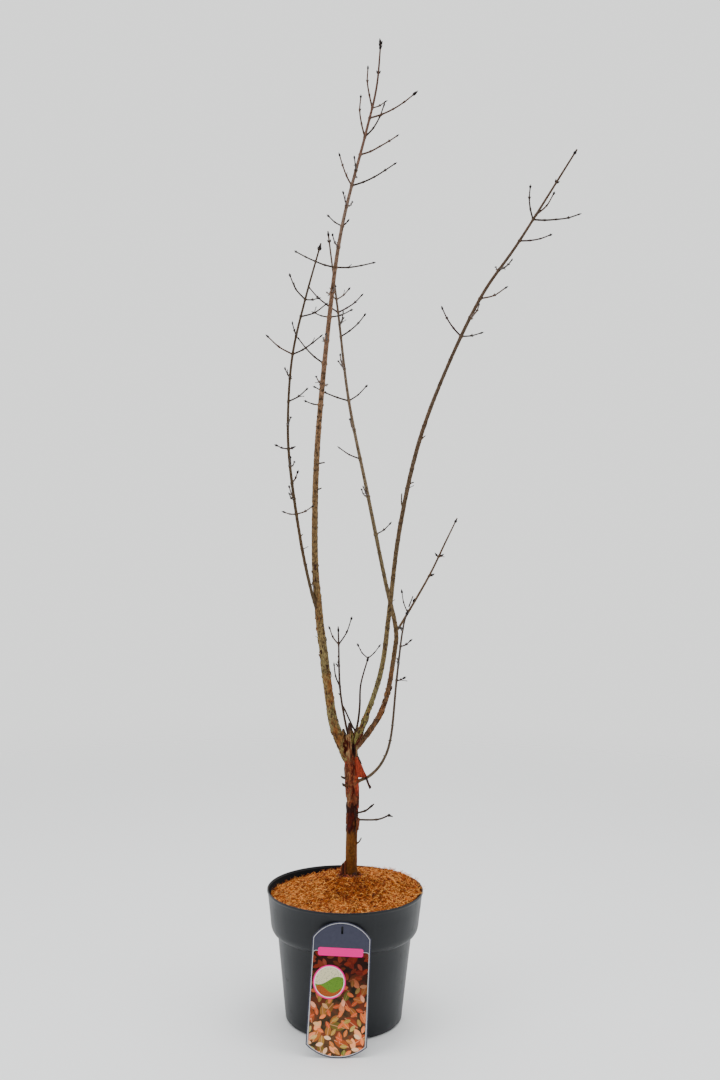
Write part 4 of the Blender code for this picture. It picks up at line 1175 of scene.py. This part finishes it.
def peels(name, finish, sheets):
    """One piece of all the sheets of a tone."""
    bm = bmesh.new()
    for sheet in sheets:
        if "corners" in sheet:
            flap(bm, **sheet)
        else:
            peel(bm, **sheet)
    bmesh.ops.recalc_face_normals(bm, faces=bm.faces)
    piece = settle(name, bm, finish, "root", 60)
    wall = piece.modifiers.new("wall", "SOLIDIFY")
    wall.thickness = PEEL_THICKNESS
    wall.offset = 0
    return piece


def paper(name, colour, dark):
    """Papery bark of one tone, streaked lengthways."""
    finish = Finish(name, {"Roughness": 0.6, "Specular IOR Level": 0.2})
    streak = finish.speckle(finish.place((1, 1, 0.35)), 500, 4, 0.65)
    finish.set("Base Color", finish.mix(finish.step(streak, 0.4, 0.62), dark, colour))
    finish.bump(streak, 0.5, 0.4 * MM)
    return finish


def sheet_round(limb, height, tall, wide, curl):
    """A sheet at any turn round a limb, its sizes drawn between limits."""
    return dict(limb=limb, height=height, turn=rng.uniform(0, 360), tall=rng.uniform(*tall),
                wide=rng.uniform(*wide), curl=rng.uniform(*curl), hand=rng.choice((1, -1)))


bright = [
    dict(limb="trunk", height=370, turn=-14, tall=50, wide=2.8, curl=50),
    dict(limb="trunk", height=372, turn=152, tall=34, wide=3.4, curl=60),
    dict(limb="trunk", height=398, turn=92, tall=24, wide=6.0, curl=65, hand=-1),
]
cinnamon, dusky, tan, wine = [], [], [], []
rng = random.Random("peels")
for _ in range(SHEETS):
    height = rng.uniform(*SHEET_HEIGHTS)
    sheet = sheet_round("trunk", height, *SHEET_SIZES)
    if height < DUSKY_TOP and rng.random() < DUSKY_SHARE:
        dusky.append(sheet)
    else:
        rng.choice((cinnamon, cinnamon, cinnamon, dusky, bright)).append(sheet)
for _ in range(FLAKES):
    limb = rng.choice(FLAKED_LIMBS)
    foot = fine_lines[limb][0][0].z / MM + FLAKES_START
    height = foot + (FLAKE_TOPS[limb] - foot) * rng.random() ** FLAKES_LOW
    sheet = sheet_round(limb, height, *FLAKE_SIZES)
    rng.choice((tan, tan, dusky)).append(sheet)
cinnamon.append(dict(limb="trunk", height=305, turn=-18, tall=17, wide=4.5, curl=50))
# The widest sheets, drawn one by one: one hangs off the right under the fork with a dry strip below it, and
# others stand against the trunk's foot, with scraps lying round it. One dusky strip at the foot's left is
# painted shadow in the gap between the trunk and the flakes beside it
FLAPS = [  # their tone, corners, bulge and seed
    (bright, (13.5, 27.5, 404), (18.0, 27.0, 405), (32.5, 30.0, 372), (16.0, 27.0, 371), 1.6, 1),
    (bright, (14.0, 45.0, 402), (8.5, 47.0, 404), (-2.0, 49.0, 376), (9.0, 46.5, 374), -1.6, 3),
    # Painted shadow: this dusky strip stands in the gap between the trunk's foot and the flakes beside it
    (dusky, (-4.6, 30, 232), (-2.6, 29.5, 234), (-2.8, 27.5, 211), (-5.2, 28, 211), 0.3, 9),
    (dusky, (11.0, 27, 219), (16.5, 29, 219), (18.5, 27.5, 210), (12.0, 24, 210), 0.4, 10),
    (dusky, (28.0, 29.5, 373), (31.8, 30.0, 373), (40.0, 31.5, 354), (36.6, 31.0, 352), 0.5, 4),
    (dusky, (14.5, 27.5, 406), (18.5, 27.5, 406), (24.5, 29.5, 392), (19.5, 27.0, 396), 1.4, 5),
    (cinnamon, (15.5, 27.0, 306), (18.0, 29.0, 304), (21.0, 28.5, 288), (17.5, 26.5, 286), 0.8, 2),
    (cinnamon, (-3.0, 31, 234), (0.3, 30, 239), (0.6, 27, 211), (-3.2, 28, 211), 0.8, 6),
    (cinnamon, (-7.2, 33, 228), (-3.8, 32, 235), (-4.6, 29, 211), (-9.2, 31, 211), 0.8, 7),
    (cinnamon, (17.0, 45, 228), (13.0, 47, 231), (14.0, 48, 211), (20.0, 47, 211), -1.0, 8),
]
for group, *corners, bulge, seed in FLAPS:
    group.append(dict(corners=corners, bulge=bulge, seed=seed))
rng = random.Random("scraps")
for seed in range(SCRAPS):
    turn = math.radians(rng.gauss(*SCRAP_TURN))
    away = rng.uniform(*SCRAP_AWAY)
    x, y = TRUNK_X / MM + away * math.cos(turn), TRUNK_Y / MM + away * math.sin(turn)
    z = mat_height(x * MM, y * MM) / MM + rng.uniform(*SCRAP_HEIGHT)
    heading = rng.uniform(0, math.tau)
    cosine, sine = math.cos(heading), math.sin(heading)
    along = Vector((cosine, sine, rng.uniform(*SCRAP_PITCH))) * rng.uniform(*SCRAP_LENGTH)
    wide = Vector((-sine, cosine, rng.uniform(*SCRAP_ROLL))) * rng.uniform(*SCRAP_WIDTH)
    middle = Vector((x, y, z))
    corners = (middle - along, middle + along, middle + along + wide, middle - along + wide)
    scrap = dict(corners=corners, bulge=SCRAP_BULGE, seed=seed)
    rng.choice((wine, wine, wine, cinnamon, dusky, tan)).append(scrap)
for name, colour, dark, sheets in (
        ("peels_orange", (0.38, 0.044, 0.012), (0.17, 0.016, 0.004), bright),
        ("peels_cinnamon", (0.165, 0.038, 0.009), (0.080, 0.014, 0.003), cinnamon),
        ("peels_tan", (0.24, 0.110, 0.034), (0.12, 0.045, 0.014), tan),
        ("peels_wine", (0.22, 0.040, 0.032), (0.040, 0.004, 0.003), wine),
        ("peels_dusky", (0.045, 0.0105, 0.005), (0.016, 0.004, 0.002), dusky)):
    piece = peels(name, paper(name, colour, dark), sheets)


# The stems and twigs: each bough carries on as a stem with opposite twigs at its joints, grown by a seeded
# rule, and every joint is swollen and carries a pair of small pointed winter buds or short spurs.

# The seeded rule, with angles in degrees
LIMB_STEP = 22 * MM
TWIG_JOINT = 19 * MM  # from one joint of a twig to the next
TWIG_RADIUS = 1.0 * MM
TWIG_RADIUS_PER_LENGTH = 0.006
TWIG_TAPER = 0.35
TWIG_UPTURN = 8
TWIG_SHARE_OF_STEM = 0.8  # of its radius, at most
TWIG_ROOM = 1.6 * MM  # between a twig and any other limb or mass
TURN_WANDER = 7
RISE_WANDER = 5
PAIR_TURN = 20
BUD_LENGTH = 5 * MM
BUD_PROFILE = [(0.35, 0.95), (1.0, 0.12)]  # along and across
PAIR_SPREAD = 38 * MM  # pairs as far apart as this have a pair to the front and back between them
BETWEEN_TURN = 16
BETWEEN_RISE = (5, 28)
BETWEEN_LENGTH = (0.6, 1.25)
SAMPLE_STEP = 2 * MM

# What is drawn along the rule's lines
STEM_OVERLAP = 2 * MM  # how far a stem reaches down into the bark
STEM_SIDES = 12
TWIG_SIDES = 8
BUD_SIDES = 8
FINE_STEP = 2.0 * MM
STEM_SWELL = 0.34  # how much thicker they are at their joints
TWIG_SWELL = 0.40
TWIG_FULLNESS = 1.15  # twigs are drawn this much thicker than their mass in the frame
BUD_SHAPE = [(0, 0.55), (0.12, 0.85), (0.35, 1.0), (0.6, 0.72), (0.85, 0.32), (1.0, 0.06)]  # along and across
PAIR_WIDTH = 0.26  # radius of a paired bud over its length
PAIR_LEAN = (0.85, 0.55)  # how buds and spurs point along and aside
LAST_JOINT_LEAN = (0.9, 0.4)
SPUR_LEAN = (0.75, 0.65)
SPUR_CURVE = 0.12
SPUR_WIDTHS = (0.7, 0.6, 0.55)  # this and the next are shares of the wood's radius
STEM_BUD_SEAT, TWIG_BUD_SEAT, LAST_JOINT_SEAT, SCAR_BUD_SEAT = 0.6, 0.5, 0.7, 0.8
STEM_BUD = 8.5 * MM
STEM_BUD_RADIUS = 2.0 * MM  # at least
STEM_BUD_WIDTH = 1.85  # over the stem's tip
STEM_TIP_PAIR = 4.0 * MM
STEM_PAIR = 2.6 * MM
TWIG_TIP_PAIR = 3.2 * MM
TWIG_PAIR = (2.4 * MM, 0.6 * MM)  # length and radius
LAST_PAIR_FULLNESS = 1.6  # how much fuller they are at a twig's last joint
BUD_SINK = 2.0 * MM  # how far a tip bud reaches back over its twig
BUD_RADII = (1.35, 1.85)
LONG_TWIG = 77 * MM  # past this length the bud at the tip is bigger
LONG_TWIG_BUD = 1.8
LAST_JOINTS = {"leader": 1494, "right_bough": 1296, "left_stem": 1203, "middle_bough": 1253}  # their heights
LAST_JOINT_BUD = (6 * MM, 1.5 * MM)
TOP_BUDS = [  # millimetres below the leader's tip, lean and length
    (1, -0.25, 10), (2, 0.4, 7.5), (5, -0.6, 6.5), (7, 0.55, 6.5), (10, -0.4, 5.5)]
TOP_BUD_WIDTH = 0.25
SPUR_CHANCE = 0.16
SPUR_LENGTH = (4, 9)
SPUR_BUD = (3 * MM, 0.75 * MM)
SCAR_BUD_TURN = 0.9  # radians to the front or the back, at most
SCAR_BUD_LENGTH = (1.6, 3.2)
SCAR_BUD_RADIUS = 0.75 * MM
SCAR_SPUR_CHANCE = 0.05
SCAR_SPUR = [(0, 0.8), (4, 0.6), (7, 0.5)]  # millimetres out and radius


def aim(heading, rise):
    """A direction from a compass heading, 0 to the right and 90 to the back, and a rise."""
    heading, rise = math.radians(heading), math.radians(rise)
    return Vector((math.cos(rise) * math.cos(heading), math.cos(rise) * math.sin(heading), math.sin(rise)))


def twig_line(rng, start, heading, rise, length, radius):
    """A twig's line: short joints that wander a little, then the bud at its tip."""
    joints = max(2, round(length / TWIG_JOINT))
    spot = start.copy()
    line = [(spot.copy(), radius)]
    for joint in range(joints):
        bent = rise + TWIG_UPTURN * (2 * joint / (joints - 1) - 1)
        spot = spot + aim(heading, bent) * (length / joints)
        line.append((spot.copy(), radius * (1 - TWIG_TAPER * (joint + 1) / joints)))
        heading += rng.uniform(-TURN_WANDER, TURN_WANDER)
        rise += rng.uniform(-RISE_WANDER, RISE_WANDER)
    tip = aim(heading, rise + TWIG_UPTURN) * BUD_LENGTH
    return line + [(spot + tip * along, radius * width) for along, width in BUD_PROFILE]


def pairs_of(name, pairs, between):
    """Every twig of a stem: a seed word, its height, heading, rise and length."""
    twigs = []
    for height, left, left_rise, right, right_rise in pairs:
        rng = random.Random(f"{name} {height}")
        for side, base, length, rise in (("left", 180, left, left_rise), ("right", 0, right, right_rise)):
            heading = base + rng.uniform(-PAIR_TURN, PAIR_TURN)
            if length:
                twigs.append((f"{name} {height} {side}", height, heading, rise, length))
    for (low, *_), (high, *_) in zip(pairs, pairs[1:]):
        if (high - low) * MM < PAIR_SPREAD:
            continue
        height = (low + high) / 2
        rng = random.Random(f"{name} between {height}")
        for side, base in (("front", -90), ("back", 90)):
            length = between * rng.uniform(*BETWEEN_LENGTH)
            heading = base + rng.uniform(-BETWEEN_TURN, BETWEEN_TURN)
            twigs.append((f"{name} {height} {side}", height, heading, rng.uniform(*BETWEEN_RISE), length))
    return twigs


def samples(line):
    """Points set close along a line, with the radius there."""
    rows = []
    for (start, start_radius), (end, end_radius) in zip(line, line[1:]):
        parts = max(1, math.ceil((end - start).length / SAMPLE_STEP))
        for part in range(parts + 1):
            share = part / parts
            rows.append((*start.lerp(end, share), start_radius + (end_radius - start_radius) * share))
    return np.array(rows)


def has_room(line, name, taken):
    """Whether a twig stays clear of every limb and mass but its own."""
    mine = samples(line)
    for owner, theirs in taken:
        if owner == name:
            continue
        apart = np.linalg.norm(mine[:, None, :3] - theirs[None, :, :3], axis=2)
        if (apart - mine[:, None, 3] - theirs[None, :, 3]).min() < TWIG_ROOM:
            return False
    return True


def with_joints(line, joints, swell):
    """A line drawn finely, thicker at its joints."""
    knots = [(*(spot / MM), radius / MM) for spot, radius in line]
    fine = smooth_line(knots, FINE_STEP)
    swollen = []
    for spot, radius in fine:
        near = min(((spot - joint).length for joint in joints), default=1.0)
        swollen.append((spot, radius * (1 + swell * math.exp(-((near / RING_WIDTH) ** 2)))))
    return swollen


def bud(base, along, length, radius):
    """A pointed bud."""
    return [(base + along * (length * part), radius * width) for part, width in BUD_SHAPE]


def sides_of(along, turn):
    """Two opposite directions across a stem."""
    aside = along.orthogonal().normalized()
    aside.rotate(Matrix.Rotation(turn, 3, along))
    return aside, -aside


def leaning(along, side, lean):
    """A direction that leans from a stem's to one side."""
    return (along * lean[0] + side * lean[1]).normalized()


def bud_pair(spot, along, radius, turn, length):
    """Two opposite buds at a joint."""
    for side in sides_of(along, turn):
        place = spot + side * radius * STEM_BUD_SEAT
        yield bud(place, leaning(along, side, PAIR_LEAN), length, PAIR_WIDTH * length)


def stem_tip(name, line):
    """The bud and the pair below it at a stem's tip, and the fuller pair at its last joint."""
    tip, tip_radius = line[-1]
    along = (tip - line[-4][0]).normalized()
    if name == "leader":
        for back, lean, size in TOP_BUDS:
            way = (along + Vector((lean, 0.1 * lean, 0))).normalized()
            yield bud(tip - along * back * MM, way, size * MM, TOP_BUD_WIDTH * size * MM)
    base = tip - along * STEM_BUD
    yield bud(base, along, STEM_BUD, max(STEM_BUD_RADIUS, STEM_BUD_WIDTH * tip_radius))
    yield from bud_pair(base, along, tip_radius, rng.uniform(0, 3), STEM_TIP_PAIR)
    if name in LAST_JOINTS:
        centre, radius = spot_at(fine_lines[name], LAST_JOINTS[name] * MM)
        for side in (1, -1):
            aside = along.cross(Vector((0, side, 0))).normalized()
            heading = leaning(along, aside, LAST_JOINT_LEAN)
            yield bud(centre + aside * radius * LAST_JOINT_SEAT, heading, *LAST_JOINT_BUD)


def draw_twig(name, line):
    """A twig with swollen joints, a bud at its tip, and a bud or a spur on both sides of each joint."""
    tone = rng.choice(("umber", "umber", "plum", "russet"))
    full = [(spot, radius * TWIG_FULLNESS) for spot, radius in line[:-2]]
    twig_rods[tone].append(with_joints(full, [spot for spot, _ in line[1:-2]], TWIG_SWELL))
    end, end_radius = line[-3]
    along = (line[-1][0] - end).normalized()
    big = LONG_TWIG_BUD if (end - line[0][0]).length > LONG_TWIG else 1.0
    length = big * BUD_LENGTH + BUD_SINK
    bud_rods["dark"].append(bud(end - along * BUD_SINK, along, length, big * rng.uniform(*BUD_RADII) * MM))
    bud_rods["dark"] += bud_pair(end, along, end_radius, rng.uniform(0, 3), TWIG_TIP_PAIR)
    joints = line[1:-3]
    for index, ((joint, radius), (after, _)) in enumerate(zip(joints, line[2:])):
        along = (after - joint).normalized()
        fullness = LAST_PAIR_FULLNESS if index == len(joints) - 1 else 1.0
        for side in sides_of(along, rng.uniform(0, 1) + math.pi / 2 * (index % 2)):
            if rng.random() < SPUR_CHANCE:
                length = rng.uniform(*SPUR_LENGTH) * MM
                heading = leaning(along, side, SPUR_LEAN)
                middle = joint + heading * length * 0.5
                end = joint + (heading + along * SPUR_CURVE) * length
                spur = [(place, radius * width) for place, width in zip((joint, middle, end), SPUR_WIDTHS)]
                if has_room(spur, name, taken):
                    twig_rods[tone].append(spur)
                    bud_rods["dark"].append(bud(end, heading, *SPUR_BUD))
            else:
                place = joint + side * radius * TWIG_BUD_SEAT
                sizes = [fullness * size for size in TWIG_PAIR]
                bud_rods["brown"].append(bud(place, leaning(along, side, PAIR_LEAN), *sizes))


coarse = {"trunk": smooth_line(TRUNK_LINE, LIMB_STEP)}
coarse.update({name: smooth_line(points, LIMB_STEP) for name, points, *_ in STEMS})
taken = [(name, samples(line)) for name, line in coarse.items()]
stem_rods, twig_rods, bud_rods = [], {"umber": [], "plum": [], "russet": []}, {"dark": [], "brown": []}
for name, points, twigs_from, pairs, between in STEMS:
    twigs = []
    joints = [] if pairs else [Vector(point[:3]) * MM for point in points[1:-1]]
    for word, height, heading, rise, length in pairs_of(name, pairs, between):
        start, stem_radius = spot_at(coarse[name], height * MM)
        radius = min(TWIG_RADIUS + TWIG_RADIUS_PER_LENGTH * length * MM, TWIG_SHARE_OF_STEM * stem_radius)
        line = twig_line(random.Random(word), start, heading, rise, length * MM, radius)
        joints.append(start)
        if has_room(line, name, taken):
            twigs.append(line)
    taken += [(name, samples(line)) for line in twigs]
    rng = random.Random(f"{name} detail")
    low = twigs_from * MM - STEM_OVERLAP if name in FUSED else 0
    stem = with_joints(part_of_line(fine_lines[name], low, math.inf), joints, STEM_SWELL)
    stem_rods.append(stem)
    bud_rods["dark"] += stem_tip(name, stem)
    for joint in joints:
        centre, radius = spot_at(fine_lines[name], joint.z)
        bud_rods["brown"] += bud_pair(centre, Vector((0, 0, 1)), radius, rng.uniform(0, 3), STEM_PAIR)
    for line in twigs:
        draw_twig(name, line)
for centre, radius in old_joints:
    for side in (1, -1):
        turn = rng.uniform(-SCAR_BUD_TURN, SCAR_BUD_TURN)
        out = Vector((math.cos(turn) * side, math.sin(turn) * side, 0.5)).normalized()
        base = centre + out * (radius * SCAR_BUD_SEAT)
        length = rng.uniform(*SCAR_BUD_LENGTH) * MM
        if rng.random() < SCAR_SPUR_CHANCE:
            twig_rods["umber"].append([(base + out * reach * MM, width * MM) for reach, width in SCAR_SPUR])
            base = base + out * SCAR_SPUR[-1][0] * MM
        bud_rods["brown"].append(bud(base, out, length, SCAR_BUD_RADIUS))

# Thin stubs darken away from their limb
STUB_TONE = (0.036, 0.022, 0.016)
STUB_TONE_FROM = 2 * MM
STUB_TONE_FADE = 1.5 * MM
stem_rods += [smooth_line(points, FINE_STEP) for points in THIN_STUBS]
stems_mesh = rods(stem_rods, STEM_SIDES)
tones = []
for corner in stems_mesh.vertices:
    _, colour = bark_at(corner.co)
    axis, radius, _ = nearest_limb(corner.co)
    away = (corner.co - axis).length - radius
    colour = blend(colour, STUB_TONE, (away - STUB_TONE_FROM) / STUB_TONE_FADE)
    tones += [*colour, 1.0]
paint(stems_mesh, tones)
stems = settle_mesh("stems", stems_mesh, bark, "root", 70)
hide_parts("side_branch", "low_branch", *[f"{name}_twigs" for name, *_ in STEMS])

TWIG_TONES = {"umber": (0.030, 0.018, 0.012), "plum": (0.036, 0.017, 0.015), "russet": (0.065, 0.030, 0.016)}
BUD_TONES = {"dark": (0.009, 0.0040, 0.0032), "brown": (0.020, 0.0095, 0.0065)}
for tones, shapes, sides, word in (
        (TWIG_TONES, twig_rods, TWIG_SIDES, "twigs"), (BUD_TONES, bud_rods, BUD_SIDES, "buds")):
    for tone, colour in tones.items():
        skin = Finish(f"{word}_{tone}", {"Base Color": colour, "Roughness": 0.5, "Specular IOR Level": 0.2})
        skin.bump(skin.speckle(skin.place((1, 1, 0.5)), 1200, 3), 0.3, 0.3 * MM)
        piece = settle_mesh(f"{word}_{tone}", rods(shapes[tone], sides), skin, "root", 70)


low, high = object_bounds()
